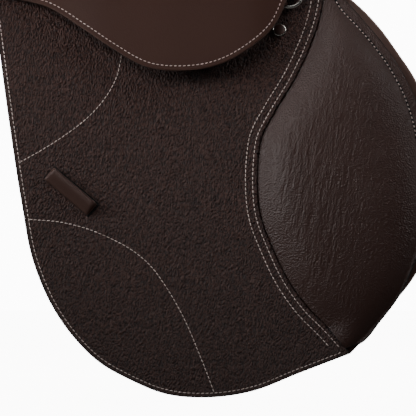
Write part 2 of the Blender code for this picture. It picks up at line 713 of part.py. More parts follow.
def make_keepers():
    """A strap loop on each flap; its feet stand on the leather and its middle bridges them."""
    for tag, side in SIDES:
        half = KEEPER_LENGTH / 2
        foot = 0.0050
        top = KEEPER_CLEAR + KEEPER_THICK
        profile = [
            (-half, 0, "v"), (-half + foot, 0, "v"), (-half + foot, KEEPER_CLEAR, "v"),
            (half - foot, KEEPER_CLEAR, "v"), (half - foot, 0, "v"), (half, 0, "v"),
            (half, top - 0.0020, "v"), (half - 0.0030, top, "v"), (-half + 0.0030, top, "v"),
            (-half, top - 0.0020, "v"),
        ]
        base = frame_at(KEEPER_X, KEEPER_Z, FLAP_OUT + 0.0006, side)
        spin = Matrix.Rotation(math.radians(KEEPER_ANGLE), 4, "Y")
        solid_of(f"keeper_{tag}", [profile], KEEPER_WIDTH / 2, base @ spin, "smooth_leather", side < 0, 1)


def dee(name, width, matrix):
    """A D-shaped wire ring: its bar on the local X axis, and its bow hanging below."""
    curve = bpy.data.curves.new("dee", "CURVE")
    curve.dimensions = "3D"
    curve.bevel_depth = DEE_WIRE
    curve.bevel_resolution = 1
    spline = curve.splines.new("POLY")
    turns = 12
    radius = width / 2
    spots = [(radius * math.cos(math.pi * t / turns), -radius * 0.55 - radius * math.sin(math.pi * t / turns))
             for t in range(turns + 1)]
    spots = [(-radius, 0.0), (radius, 0.0)] + spots
    spline.points.add(len(spots) - 1)
    for point, (x, z) in zip(spline.points, spots):
        point.co = (x, 0, z, 1)
    spline.use_cyclic_u = True
    guide = bpy.data.objects.new("dee", curve)
    guide.matrix_world = matrix
    bpy.context.scene.collection.objects.link(guide)
    bpy.context.view_layer.update()
    keep(tube_mesh(guide), name, "steel")


def chape(name, width, tail, matrix, flip):
    """A leather strap folded round a ring's bar, its tail going up: (offset, height) corners."""
    bore = DEE_WIRE + 0.0005
    outside = bore + CHAPE_WALL
    eye = [(bore * math.cos(math.radians(45 * s)), bore * math.sin(math.radians(45 * s)), "v") for s in range(8)]
    under = [math.radians(180 + 30 * step) for step in range(7)]
    body = [(-outside, tail, "v")] + [(outside * math.cos(t), outside * math.sin(t), "v") for t in under]
    body += [(0.1 * outside, 0.45 * tail, "v"), (-0.1 * outside, tail, "v")]
    turn = Matrix(((0, 0, 1, 0), (1, 0, 0, 0), (0, 1, 0, 0), (0, 0, 0, 1)))
    solid_of(name, [body, eye], width / 2, matrix @ turn, "strap_leather", flip, 1)


def make_rings():
    for tag, side in SIDES:
        stand = FLAP_OUT + TOUCH + DEE_WIRE + 0.0005 + CHAPE_WALL
        front = frame_at(FRONT_DEE_X, FRONT_DEE_Z, stand, side)
        dee(f"front_dee_{tag}", FRONT_DEE_WIDTH, front)
        chape(f"front_chape_{tag}", FRONT_DEE_WIDTH - 0.0065, 0.018, front, side < 0)
        rear_width = REAR_DEE_WIDTH - 0.0080
        near = REAR_DEE_Y - rear_width / 2
        cantle_face = SEAT_REAR + CANTLE_ROUND * (near / SEAT_WIDEST) ** 2.5
        reach = TOUCH + DEE_WIRE + 0.0005 + CHAPE_WALL
        rear = Matrix.Translation((cantle_face - reach, side * REAR_DEE_Y, REAR_DEE_Z)) \
            @ Matrix.Rotation(math.radians(90), 4, "Z")
        dee(f"rear_dee_{tag}", REAR_DEE_WIDTH, rear)
        chape(f"rear_chape_{tag}", rear_width, 0.030, rear, False)


def make_nails():
    for tag, side in SIDES:
        head = bmesh.new()
        bmesh.ops.create_uvsphere(head, u_segments=16, v_segments=8, radius=NAIL_RADIUS)
        bmesh.ops.bisect_plane(head, geom=head.verts[:] + head.edges[:] + head.faces[:], plane_co=(0, 0, 0),
                               plane_no=(0, 0, -1), clear_outer=True)
        rim = [edge for edge in head.edges if edge.is_boundary]
        bmesh.ops.contextual_create(head, geom=rim)
        bmesh.ops.scale(head, vec=(1, 1, 0.5), verts=head.verts)
        bmesh.ops.recalc_face_normals(head, faces=head.faces)
        mesh = bpy.data.meshes.new("nail")
        head.to_mesh(mesh)
        head.free()
        other = mesh.copy()
        outward = Matrix(((1, 0, 0, 0), (0, 0, 1, 0), (0, -1, 0, 0), (0, 0, 0, 1)))
        mesh.transform(frame_at(NAIL_X, NAIL_Z, FLAP_OUT + TOUCH, side) @ outward)
        if side < 0:
            mesh.flip_normals()
        keep(mesh, f"flap_nail_{tag}", "steel")
        half = blend_points(SEAT_HALF, SEAT_FRONT)
        front = SEAT_FRONT - POMMEL_ROUND * ((POMMEL_NAIL_Y - NAIL_RADIUS) / half) ** 2
        spot = Matrix.Translation((front + TOUCH, side * POMMEL_NAIL_Y, POMMEL_NAIL_Z))
        other.transform(spot @ Matrix.Rotation(math.radians(90), 4, "Y"))
        keep(other, f"pommel_nail_{tag}", "steel")


make_seat()
make_welts()
make_tree()
make_panels()
make_flaps()
make_straps()
make_bars()
make_keepers()
make_rings()
make_nails()
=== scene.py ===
"""An english saddle in dark havana leather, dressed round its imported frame.

Metres. +X points at the pommel, +Y at the horse's left, +Z up. Side pieces are made for the right
side, which faces -Y, and a mirrored copy goes on the left.
"""

import json
import math
import random

import bpy
import numpy as np
from mathutils import Matrix, Vector


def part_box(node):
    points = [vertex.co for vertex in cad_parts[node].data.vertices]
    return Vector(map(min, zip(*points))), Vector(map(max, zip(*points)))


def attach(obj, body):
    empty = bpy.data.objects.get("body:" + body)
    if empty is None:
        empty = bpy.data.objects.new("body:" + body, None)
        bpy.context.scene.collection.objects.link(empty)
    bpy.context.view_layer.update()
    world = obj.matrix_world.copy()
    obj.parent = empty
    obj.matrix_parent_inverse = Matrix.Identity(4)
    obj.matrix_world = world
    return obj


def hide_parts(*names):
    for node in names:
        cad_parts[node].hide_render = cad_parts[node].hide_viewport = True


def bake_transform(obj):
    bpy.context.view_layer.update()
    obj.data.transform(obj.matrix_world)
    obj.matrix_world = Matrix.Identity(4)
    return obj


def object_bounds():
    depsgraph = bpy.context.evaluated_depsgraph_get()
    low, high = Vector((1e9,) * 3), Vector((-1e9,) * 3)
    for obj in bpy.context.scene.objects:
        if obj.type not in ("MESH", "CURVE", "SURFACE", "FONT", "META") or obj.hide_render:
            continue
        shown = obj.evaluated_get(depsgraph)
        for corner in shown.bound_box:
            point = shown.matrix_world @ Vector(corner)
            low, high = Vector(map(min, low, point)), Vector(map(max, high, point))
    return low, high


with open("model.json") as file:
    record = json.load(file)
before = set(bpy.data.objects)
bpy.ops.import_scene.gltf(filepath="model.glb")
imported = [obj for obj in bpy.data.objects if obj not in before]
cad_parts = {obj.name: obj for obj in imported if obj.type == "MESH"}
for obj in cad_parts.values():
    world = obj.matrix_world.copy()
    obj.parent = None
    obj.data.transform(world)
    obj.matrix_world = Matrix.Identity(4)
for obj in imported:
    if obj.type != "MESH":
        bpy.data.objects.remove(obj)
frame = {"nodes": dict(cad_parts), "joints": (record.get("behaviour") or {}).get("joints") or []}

CAD_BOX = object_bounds()
JOINTS = {joint["name"]: joint for joint in frame["joints"]}
MM = 0.001

# The drape surface that the flaps' inner faces follow, measured down from the flap's hinge line
HINGE_Y = abs(JOINTS["flap_lift_r"]["pos_m"][1])
HINGE_Z = JOINTS["flap_lift_r"]["pos_m"][2]
DRAPE_SLOPE = 0.23
DRAPE_BULGE = 0.032
DRAPE_ROUND = 0.160

# Leather layers, as offsets from the drape surface, outwards positive
LINING_THICK = 2.0 * MM
FLAP_THICK = 2.5 * MM
SKIRT_THICK = 3.0 * MM
SWEAT_THICK = 3.5 * MM
GAP = 0.3 * MM
LAYER = LINING_THICK + GAP
FLAP_OUT = LAYER + FLAP_THICK
SWEAT_OUT = -14.5 * MM
SKIRT_RISE = 11.8 * MM
SKIRT_RAMP = 24 * MM
PAD_SKIN = 1.2 * MM
PAD_TOP = 11.5 * MM

# A rim mark this far in is past any painted edge
FAR_FROM_EDGE = 10 * MM

# Stitching
STITCH_PITCH = 3.35 * MM
STITCH_LENGTH = 2.75 * MM
STITCH_SLANT = 4.0
THREAD = 0.74 * MM
EDGE_TO_ROW = 3.3 * MM
ROW_TO_ROW = 5.4 * MM
FLAP_ROW_TOP = 0.064
AWL_PIT = 1.15 * MM

# Side outlines as (x, z) points; a third item, "v", marks a corner
FLAP_REAR_EDGE = [
    (-0.032, 0.0690, "v"), (-0.0275, 0.030), (-0.0225, -0.005), (-0.0180, -0.0375), (-0.0105, -0.0900),
    (-0.0015, -0.1462), (0.0068, -0.1875), (0.0232, -0.2250), (0.0383, -0.2460), (0.0570, -0.2640),
    (0.0795, -0.2767), (0.1057, -0.2872), (0.1380, -0.2900), (0.1695, -0.2857), (0.2070, -0.2715),
]
FLAP_TIP = (0.2445, -0.2572, "v")
GRAIN_FRONT_EDGE = [
    (0.2272, -0.2378), (0.2122, -0.2228), (0.1980, -0.2032), (0.1860, -0.1785), (0.1770, -0.1537),
    (0.1748, -0.1320), (0.1755, -0.1117), (0.1777, -0.0967), (0.1875, -0.0772), (0.2025, -0.0525),
    (0.2145, -0.0270), (0.2205, -0.0105), (0.2245, 0.0070), (0.2250, 0.0400), (0.2200, 0.0690, "v"),
]
FLAP_FRONT_EDGE = [
    (0.2670, -0.2333), (0.2812, -0.2145), (0.2920, -0.1920), (0.3010, -0.1620), (0.3040, -0.1300),
    (0.3010, -0.0950), (0.2932, -0.0660), (0.2805, -0.0405), (0.2685, -0.0232), (0.2573, -0.0097),
    (0.2420, 0.0075), (0.2330, 0.0300), (0.2290, 0.0500), (0.2250, 0.0690, "v"),
]
SKIRT_EDGE = [
    (-0.046, 0.0700, "v"), (-0.0445, 0.0400), (-0.0390, 0.0200), (-0.0180, 0.0105), (0.0037, 0.0067),
    (0.0143, 0.0037), (0.0457, -0.0150), (0.0645, -0.0277), (0.0945, -0.0435), (0.1170, -0.0457),
    (0.1433, -0.0420), (0.1695, -0.0285), (0.1882, -0.0112), (0.1972, 0.0075), (0.2040, 0.0280),
    (0.2075, 0.0480), (0.2080, 0.0700, "v"),
]
SWEAT_EDGE = [
    (-0.020, 0.0180, "v"), (-0.0160, -0.0300), (-0.0060, -0.0950), (0.0030, -0.1500), (0.0150, -0.2000),
    (0.0400, -0.2350), (0.0850, -0.2620), (0.1380, -0.2720), (0.1900, -0.2640), (0.2400, -0.2450),
    (0.2812, -0.2150), (0.2940, -0.1980), (0.3080, -0.1640), (0.3110, -0.1300), (0.3080, -0.0900),
    (0.2940, -0.0510), (0.2813, -0.0315), (0.2685, -0.0135), (0.2500, 0.0060), (0.2350, 0.0180, "v"),
]
# Decorative single rows on the flap
REAR_SWEEP = [
    (0.0735, -0.0300), (0.0698, -0.0488), (0.0607, -0.0660), (0.0480, -0.0803), (0.0308, -0.0938),
    (0.0158, -0.1035), (-0.0035, -0.1145),
]
LOWER_SWEEP = [
    (0.0036, -0.1570), (0.0270, -0.1590), (0.0458, -0.1635), (0.0645, -0.1710), (0.0833, -0.1815),
    (0.0945, -0.1912), (0.1058, -0.2062), (0.1208, -0.2325), (0.1320, -0.2588), (0.1380, -0.2738),
    (0.1425, -0.2860),
]


# Modelling helpers

def pick(obj):
    """Makes one object the only selected and active one."""
    bpy.ops.object.select_all(action="DESELECT")
    obj.select_set(True)
    bpy.context.view_layer.objects.active = obj


def edit(obj, kind="FACE"):
    """Opens an object in edit mode with everything selected."""
    pick(obj)
    bpy.ops.object.mode_set(mode="EDIT")
    bpy.ops.mesh.select_mode(type=kind)
    bpy.ops.mesh.select_all(action="SELECT")


def done():
    bpy.ops.object.mode_set(mode="OBJECT")


def outward(obj):
    """Recalculates a closed mesh's normals so that they point out."""
    edit(obj)
    bpy.ops.mesh.normals_make_consistent(inside=False)
    done()


def bake_in(obj, name, **settings):
    """Adds a modifier with its settings and applies it."""
    pick(obj)
    step = obj.modifiers.new(name, name)
    for key, value in settings.items():
        setattr(step, key, value)
    bpy.ops.object.modifier_apply(modifier=step.name)


def smooth(obj, degrees=40):
    pick(obj)
    bpy.ops.object.shade_smooth_by_angle(angle=math.radians(degrees))


def joined(copies, name):
    """Joins copies of one shape into a single named piece."""
    bpy.ops.object.select_all(action="DESELECT")
    for copy in copies:
        copy.select_set(True)
    bpy.context.view_layer.objects.active = copies[0]
    bpy.ops.object.join()
    obj = bpy.context.object
    obj.name = name
    return obj


def stamped(pattern, matrix):
    """A linked copy of a pattern object with its mesh moved by a matrix."""
    copy = pattern.copy()
    copy.data = pattern.data.copy()
    copy.data.transform(matrix)
    bpy.context.scene.collection.objects.link(copy)
    return copy


def unit_grid(name, columns, rows):
    """A flat grid, and its points from (0, 0) to (1, 1)."""
    bpy.ops.object.select_all(action="DESELECT")
    bpy.ops.mesh.primitive_grid_add(x_subdivisions=columns, y_subdivisions=rows, size=1)
    obj = bpy.context.object
    obj.name = name
    return obj, coordinates(obj) + np.array([0.5, 0.5, 0])


def rod(name, spots, radius, roundness, closed=False):
    """A round rod along points, its ends capped unless it closes on itself."""
    curve = bpy.data.curves.new(name, "CURVE")
    curve.dimensions = "3D"
    curve.bevel_depth = radius
    curve.bevel_resolution = roundness
    curve.use_fill_caps = not closed
    spline = curve.splines.new("POLY")
    spline.points.add(len(spots) - 1)
    for point, spot in zip(spline.points, spots):
        point.co = (*spot, 1)
    spline.use_cyclic_u = closed
    obj = bpy.data.objects.new(name, curve)
    bpy.context.scene.collection.objects.link(obj)
    pick(obj)
    bpy.ops.object.convert(target="MESH")
    return bpy.context.object


def coordinates(obj):
    flat = np.zeros(len(obj.data.vertices) * 3)
    obj.data.vertices.foreach_get("co", flat)
    return flat.reshape(-1, 3)


def move_to(obj, points):
    obj.data.vertices.foreach_set("co", np.asarray(points, float).ravel())
    obj.data.update()


def ease(value):
    share = np.clip(value, 0, 1)
    return share * share * (3 - 2 * share)


def drape(drop):
    """Half-width and slope of the drape surface at a distance below the hinge line."""
    left = np.clip(1 - drop / DRAPE_ROUND, 0, None)
    width = HINGE_Y + DRAPE_SLOPE * drop + DRAPE_BULGE * (1 - left * left)
    return width, DRAPE_SLOPE + 2 * DRAPE_BULGE / DRAPE_ROUND * left


def on_drape(x, z, offset):
    """Points at an offset from the right side's drape surface that are seen at (x, z) from the side."""
    base = z
    for _ in range(4):
        slope = drape(HINGE_Z - base)[1]
        base = z - offset * slope / np.hypot(1, slope)
    width, slope = drape(HINGE_Z - base)
    return np.stack([x + 0 * z, -(width + offset / np.hypot(1, slope)), z + 0 * x], axis=-1)


def facing(z):
    """The outward direction of the right side's drape surface at a height."""
    slope = float(drape(HINGE_Z - z)[1])
    return Vector((0, -1, slope)).normalized()


def frame_at(x, z, offset):
    """A matrix on the right side's drape: X forward along the leather, Y up it, Z out of it."""
    out = facing(z)
    forward = Vector((1, 0, 0))
    up = out.cross(forward)
    here = Vector(on_drape(x, z, offset))
    return Matrix.Translation(here) @ Matrix((forward, up, out)).transposed().to_4x4()


def smooth_line(points, step, closed=False, corner_room=False):
    """Points about step apart on a smooth curve through (x, z) points, with corners where marked.

    Corner room leaves out the points beside each corner, so that loops inside it don't cross.
    """
    spots = np.array([spot[:2] for spot in points], float)
    count = len(spots)
    last = count if closed else count - 1
    sharp = [len(spot) > 2 for spot in points]
    chords = [spots[(i + 1) % count] - spots[i] for i in range(last)]
    spans = [max(np.linalg.norm(chord), 1e-9) for chord in chords]

    def tangent(i, leaving):
        before, after = i - 1, i
        if closed:
            before, after = before % count, after % count
        alone = sharp[i % count] or (not closed and (i == 0 or i == count - 1))
        if alone:
            side = after if leaving else before
            return chords[side] / spans[side]
        a, b = spans[before], spans[after]
        return (b * chords[before] / a + a * chords[after] / b) / (a + b)

    dense, corners = [], []
    for i in range(last):
        start, end = spots[i], spots[(i + 1) % count]
        following = (i + 1) % count if closed else i + 1
        leave = tangent(i, True) * spans[i]
        arrive = tangent(following, False) * spans[i]
        if sharp[i]:
            corners.append(len(dense))
        for t in np.linspace(0, 1, 16, endpoint=False):
            dense.append(
                (2 * t**3 - 3 * t**2 + 1) * start + (t**3 - 2 * t**2 + t) * leave
                + (3 * t**2 - 2 * t**3) * end + (t**3 - t**2) * arrive
            )
    dense.append(dense[0] if closed else spots[-1])
    dense = np.array(dense)
    marks = sorted(set([0] + corners + [len(dense) - 1]))
    along = np.concatenate([[0], np.cumsum(np.linalg.norm(np.diff(dense, axis=0), axis=1))])
    even = []
    for first, final in zip(marks, marks[1:]):
        length = along[final] - along[first]
        stops = np.linspace(along[first], along[final], max(2, round(length / step) + 1))
        if corner_room and len(stops) > 6:
            stops = np.delete(stops, (1, len(stops) - 2))
        even += [[np.interp(s, along, dense[:, k]) for k in (0, 1)] for s in stops[:-1]]
    if not closed:
        even.append(list(dense[-1]))
    return np.array(even)


def reach(points, line, closed=False):
    """Distance from each (x, z) point to a line, and how far along the line its nearest spot is."""
    line = np.asarray(line)
    ends = np.roll(line, -1, axis=0) if closed else line[1:]
    starts = line if closed else line[:-1]
    run = ends - starts
    span = np.maximum((run * run).sum(1), 1e-12)
    lengths = np.sqrt(span)
    before = np.concatenate([[0], np.cumsum(lengths)[:-1]])
    near = np.full(len(points), 1e9)
    along = np.zeros(len(points))
    for a, r, s, length, b in zip(starts, run, span, lengths, before):
        t = np.clip(((points - a) @ r) / s, 0, 1)
        away = np.linalg.norm(points - a - t[:, None] * r, axis=1)
        closer = away < near
        near[closer] = away[closer]
        along[closer] = b + t[closer] * length
    return near, along


def rounded(distance, radius):
    """How far a rounded edge falls away at a distance in from the rim."""
    left = np.clip(radius - distance, 0, radius)
    return radius - np.sqrt(np.maximum(radius * radius - left * left, 0))


def inside_line(line, distance):
    """A line moved sideways to its left by a distance."""
    run = np.gradient(line, axis=0)
    run /= np.linalg.norm(run, axis=1)[:, None]
    return line + distance * np.stack([-run[:, 1], run[:, 0]], axis=1)


def cut_sheet(name, outline, insets, pitch, thick, window=None, rim_step=4 * MM):
    """A flat leather blank in the XZ plane, its outer face at y = 0 and its inner at y = thick.

    Edge loops run inside the rim at the inset distances, and cuts cross it every pitch.
    """
    rim = smooth_line(outline, rim_step, closed=True, corner_room=True)
    bpy.ops.object.select_all(action="DESELECT")
    bpy.ops.mesh.primitive_circle_add(vertices=len(rim), radius=1, fill_type="NGON")
    obj = bpy.context.object
    obj.name = name
    move_to(obj, [(x, 0, z) for x, z in rim])
    edit(obj)
    for width in np.diff([0] + list(insets)):
        bpy.ops.mesh.inset(thickness=float(width), depth=0)
    low, high = rim.min(axis=0), rim.max(axis=0)
    for axis, normal in ((0, (1, 0, 0)), (1, (0, 0, 1))):
        for spot in np.arange(low[axis] + pitch, high[axis] - 0.3 * pitch, pitch):
            bpy.ops.mesh.select_all(action="SELECT")
            place = (float(spot), 0, 0) if axis == 0 else (0, 0, float(spot))
            bpy.ops.mesh.bisect(plane_co=place, plane_no=normal)
    if window:
        (x0, z0), (x1, z1) = window
        for place, normal in (((x0, 0, 0), (1, 0, 0)), ((x1, 0, 0), (1, 0, 0)), ((0, 0, z0), (0, 0, 1)),
                              ((0, 0, z1), (0, 0, 1))):
            bpy.ops.mesh.select_all(action="SELECT")
            bpy.ops.mesh.bisect(plane_co=place, plane_no=normal)
        done()
        for face in obj.data.polygons:
            x, _, z = face.center
            face.select = x0 < x < x1 and z0 < z < z1
        bpy.ops.object.mode_set(mode="EDIT")
        bpy.ops.mesh.delete(type="FACE")
    done()
    bake_in(obj, "SOLIDIFY", thickness=thick, offset=-1)
    outward(obj)
    return obj, rim


def lay(obj, level):
    """Lays a flat blank on the drape; level(x, z, outer) gives each point's offset."""
    flat = coordinates(obj)
    outer = flat[:, 1] < flat[:, 1].mean()
    offsets = level(flat[:, 0], flat[:, 2], outer)
    move_to(obj, on_drape(flat[:, 0], flat[:, 2], offsets))


def mark(obj, name, values):
    """Stores one number for each point, for the material to read."""
    layer = obj.data.attributes.new(name, "FLOAT", "POINT")
    layer.data.foreach_set("value", np.asarray(values, np.float32))


def no_inked_edge(obj):
    """Marks every point as far from any cut edge, so that the material draws no painted rim."""
    mark(obj, "rim", np.full(len(obj.data.vertices), FAR_FROM_EDGE))


def mirrored(obj, name):
    """A copy of a right-side piece for the left side."""
    twin = stamped(obj, Matrix.Diagonal((1, -1, 1, 1)))
    twin.name = name
    edit(twin)
    bpy.ops.mesh.flip_normals()
    done()
    return twin


def both_sides(obj, name, body, replaces=None):
    """Names and rides a right-side piece, and makes its left twin."""
    obj.name = f"{name}_r"
    for piece, tag in ((obj, "r"), (mirrored(obj, f"{name}_l"), "l")):
        where = body if body == "root" else f"{body}_{tag}"
        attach(piece, where)
        if replaces:
            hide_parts(*[f"{node}_{tag}" for node in replaces])


# Materials

def shade(hexcode):
    """Linear colour from an sRGB hex value."""
    parts = [int(hexcode[i:i + 2], 16) / 255 for i in (1, 3, 5)]
    return [c / 12.92 if c <= 0.04045 else ((c + 0.055) / 1.055) ** 2.4 for c in parts] + [1]


def add(tree, kind, inputs=None, **settings):
    """Adds a node: settings are its properties, inputs are values or the sockets that feed it."""
    item = tree.nodes.new(kind)
    for key, value in settings.items():
        setattr(item, key, value)
    for key, value in (inputs or {}).items():
        if isinstance(value, bpy.types.NodeSocket):
            tree.links.new(value, item.inputs[key])
        else:
            item.inputs[key].default_value = value
    return item


def blank(name):
    material = bpy.data.materials.new(name)
    material.use_nodes = True
    return material, material.node_tree, material.node_tree.nodes["Principled BSDF"]


def havana_grain_leather():
    """Vegetable-tanned flap hide with a printed pebble grain: matt, dark, each pebble catching the light.

    The pebbles are drawn 1.2 to 2 mm across, as coarse as they need to be to show. Their low points are
    painted near black, as painted shade in the pits.
    """
    material, tree, shader = blank("havana_grain_leather")
    place = add(tree, "ShaderNodeTexCoord").outputs["Object"]
    lean = add(tree, "ShaderNodeMapping", {"Vector": place, "Rotation": (0, 0.26, 0), "Scale": (1, 6, 1.75)},
               vector_type="TEXTURE")
    pebbles = add(tree, "ShaderNodeTexVoronoi", {"Vector": lean.outputs[0], "Scale": 1 / 0.0020,
                                                 "Randomness": 0.95}, feature="DISTANCE_TO_EDGE")
    creases = add(tree, "ShaderNodeMapRange", {"Value": pebbles.outputs["Distance"], "From Min": 0.0,
                                               "From Max": 0.28}, interpolation_type="SMOOTHSTEP")
    fine = add(tree, "ShaderNodeTexNoise", {"Vector": lean.outputs[0], "Scale": 1 / 0.0012, "Detail": 2.0})
    height = add(tree, "ShaderNodeMath", {0: fine.outputs[0], 1: 2.4, 2: creases.outputs[0]},
                 operation="MULTIPLY_ADD")
    bump = add(tree, "ShaderNodeBump", {"Height": height.outputs[0], "Strength": 1.0, "Distance": 0.00130})
    patches = add(tree, "ShaderNodeTexNoise", {"Vector": place, "Scale": 18.0, "Detail": 4.0})
    tone = add(tree, "ShaderNodeMix", {"Factor": patches.outputs[0], "A": shade("#432922"),
                                       "B": shade("#4D312A")}, data_type="RGBA")
    # Painted shade: where the fine grain noise is low, in the pits of the bump, the colour is mixed towards
    # near black
    pits = add(tree, "ShaderNodeMapRange", {"Value": fine.outputs[0], "From Min": 0.36, "From Max": 0.56})
    pit_shaded_tone = add(tree, "ShaderNodeMix", {"Factor": pits.outputs[0], "A": shade("#240F0B"),
                                       "B": tone.outputs["Result"]}, data_type="RGBA")
    rim = add(tree, "ShaderNodeAttribute", attribute_name="rim")
    inked = add(tree, "ShaderNodeMapRange", {"Value": rim.outputs["Fac"], "From Min": 0.0003,
                                             "From Max": 0.0010})
    colour = add(tree, "ShaderNodeMix", {"Factor": inked.outputs[0], "A": shade("#0B0706"),
                                         "B": pit_shaded_tone.outputs["Result"]}, data_type="RGBA")
    rough = add(tree, "ShaderNodeMapRange", {"Value": patches.outputs[0], "To Min": 0.50, "To Max": 0.62})
    shader.inputs["Specular IOR Level"].default_value = 0.40
    tree.links.new(colour.outputs["Result"], shader.inputs["Base Color"])
    tree.links.new(rough.outputs[0], shader.inputs["Roughness"])
    tree.links.new(bump.outputs[0], shader.inputs["Normal"])
    return material


def calf_leather(name, light, dark, rough, wrinkle, edge="#0B0706", local=False, glint=0.30):
    """Smooth calf, coloured in the dye drum: fine pores, stretch wrinkles and a soft waxed shine.

    The wrinkles stand up by wrinkle, and where they are local, by each point's own "folds" mark too.
    Glint is how strongly the wax catches the light, and edge is the colour of the cut edge; on the sweat flap
    the pale edge colour is a painted highlight line.
    """
    material, tree, shader = blank(name)
    place = add(tree, "ShaderNodeTexCoord").outputs["Object"]
    long = add(tree, "ShaderNodeMapping", {"Vector": place, "Rotation": (0, 0.16, 0), "Scale": (1, 12, 5.0)},
               vector_type="TEXTURE")
    folds = add(tree, "ShaderNodeTexNoise", {"Vector": long.outputs[0], "Scale": 1 / 0.0027, "Detail": 3.0,
                                             "Distortion": 0.15})
    pores = add(tree, "ShaderNodeTexVoronoi", {"Vector": place, "Scale": 1 / 0.0013})
    size = wrinkle
    if local:
        worked = add(tree, "ShaderNodeAttribute", attribute_name="folds").outputs["Fac"]
        size = add(tree, "ShaderNodeMath", {0: worked, 1: wrinkle}, operation="MULTIPLY").outputs[0]
    height = add(tree, "ShaderNodeMath", {0: folds.outputs[0], 1: size, 2: pores.outputs["Distance"]},
                 operation="MULTIPLY_ADD")
    bump = add(tree, "ShaderNodeBump", {"Height": height.outputs[0], "Strength": 0.42,
                                        "Distance": 0.00020 + 0.00024 * wrinkle})
    patches = add(tree, "ShaderNodeTexNoise", {"Vector": place, "Scale": 14.0, "Detail": 5.0})
    tone = add(tree, "ShaderNodeMix", {"Factor": patches.outputs[0], "A": shade(dark), "B": shade(light)},
               data_type="RGBA")
    rim = add(tree, "ShaderNodeAttribute", attribute_name="rim")
    # Near the rim the colour turns to edge: the cut edge's own colour on most pieces, a painted highlight
    # line on the sweat flap
    inked = add(tree, "ShaderNodeMapRange", {"Value": rim.outputs["Fac"], "From Min": 0.0006,
                                             "From Max": 0.0016})
    colour = add(tree, "ShaderNodeMix", {"Factor": inked.outputs[0], "A": shade(edge),
                                         "B": tone.outputs["Result"]}, data_type="RGBA")
    shine = add(tree, "ShaderNodeMapRange", {"Value": patches.outputs[0], "To Min": rough - 0.05,
                                             "To Max": rough + 0.07})
    shader.inputs["Specular IOR Level"].default_value = glint
    tree.links.new(colour.outputs["Result"], shader.inputs["Base Color"])
    tree.links.new(shine.outputs[0], shader.inputs["Roughness"])
    tree.links.new(bump.outputs[0], shader.inputs["Normal"])
    return material


def linen_thread():
    """Waxed linen thread: off-white with a faint rose cast, matt, its twist just showing."""
    material, tree, shader = blank("waxed_linen_thread")
    place = add(tree, "ShaderNodeTexCoord").outputs["Object"]
    twist = add(tree, "ShaderNodeTexNoise", {"Vector": place, "Scale": 1 / 0.0006, "Detail": 2.0})
    tone = add(tree, "ShaderNodeMix", {"Factor": twist.outputs[0], "A": shade("#B79F98"),
                                       "B": shade("#EBDCD5")}, data_type="RGBA")
    bump = add(tree, "ShaderNodeBump", {"Height": twist.outputs[0], "Strength": 0.4, "Distance": 0.0002})
    tree.links.new(tone.outputs["Result"], shader.inputs["Base Color"])
    tree.links.new(bump.outputs[0], shader.inputs["Normal"])
    shader.inputs["Roughness"].default_value = 0.75
    return material


def nickel_plate():
    """Nickel-plated steel, polished: bright and a little warm, with fine handling marks."""
    material, tree, shader = blank("polished_nickel_plate")
    place = add(tree, "ShaderNodeTexCoord").outputs["Object"]
    marks = add(tree, "ShaderNodeTexNoise", {"Vector": place, "Scale": 1 / 0.004, "Detail": 6.0})
    rough = add(tree, "ShaderNodeMapRange", {"Value": marks.outputs[0], "To Min": 0.12, "To Max": 0.32})
    shader.inputs["Base Color"].default_value = shade("#CFCBC4")
    shader.inputs["Metallic"].default_value = 1
    tree.links.new(rough.outputs[0], shader.inputs["Roughness"])
    return material


def pale_floor():
    """Backlit acrylic studio floor: an even white glow to the eye, but a mid grey to the lamps.

    The grey keeps light that bounces off the floor from washing out the shade under the flap.
    """
    material, tree, shader = blank("backlit_studio_acrylic")
    place = add(tree, "ShaderNodeTexCoord").outputs["Object"]
    mottle = add(tree, "ShaderNodeTexNoise", {"Vector": place, "Scale": 3.0, "Detail": 2.0})
    tone = add(tree, "ShaderNodeMix", {"Factor": mottle.outputs[0], "A": shade("#F7F6F5"),
                                       "B": shade("#FCFBFA")}, data_type="RGBA")
    seen = add(tree, "ShaderNodeLightPath").outputs["Is Camera Ray"]
    glow = add(tree, "ShaderNodeMath", {0: seen, 1: FLOOR_GLOW}, operation="MULTIPLY")
    shader.inputs["Base Color"].default_value = shade("#8C8B8A")
    tree.links.new(tone.outputs["Result"], shader.inputs["Emission Color"])
    tree.links.new(glow.outputs[0], shader.inputs["Emission Strength"])
    shader.inputs["Roughness"].default_value = 0.9
    return material


def plain_finish(name, colour, rough, metallic=0.0, marks=0.004, spread=0.1, bump_size=0.0006, bump=0.2,
                 dark=None):
    """A finish with slight wear in its tone and sheen, and a fine surface texture."""
    material, tree, shader = blank(name)
    place = add(tree, "ShaderNodeTexCoord").outputs["Object"]
    wear_map = add(tree, "ShaderNodeTexNoise", {"Vector": place, "Scale": 1 / marks, "Detail": 5.0})
    fine = add(tree, "ShaderNodeTexNoise", {"Vector": place, "Scale": 1 / bump_size, "Detail": 3.0})
    tone = add(tree, "ShaderNodeMix", {"Factor": wear_map.outputs[0], "A": shade(dark or colour),
                                       "B": shade(colour)}, data_type="RGBA")
    shine = add(tree, "ShaderNodeMapRange", {"Value": wear_map.outputs[0], "To Min": rough - spread,
                                             "To Max": rough + spread})
    relief = add(tree, "ShaderNodeBump", {"Height": fine.outputs[0], "Strength": bump, "Distance": 0.0002})
    tree.links.new(tone.outputs["Result"], shader.inputs["Base Color"])
    tree.links.new(shine.outputs[0], shader.inputs["Roughness"])
    tree.links.new(relief.outputs[0], shader.inputs["Normal"])
    shader.inputs["Metallic"].default_value = metallic
    return material


GRAIN = havana_grain_leather()
# Skirt calf: close and waxed, so it reads flat and even, its cut edge a paler burnished line
SKIRT_CALF = calf_leather("waxed_havana_calf", "#422A23", "#362019", 0.55, 0.30, "#5A463F", glint=0.14)
# Pad calf: soft and stretched over stuffing, so it gathers in deep folds with bright crests
PAD_CALF = calf_leather("soft_havana_calf", "#402821", "#331D18", 0.40, 3.8, local=True, glint=0.40)
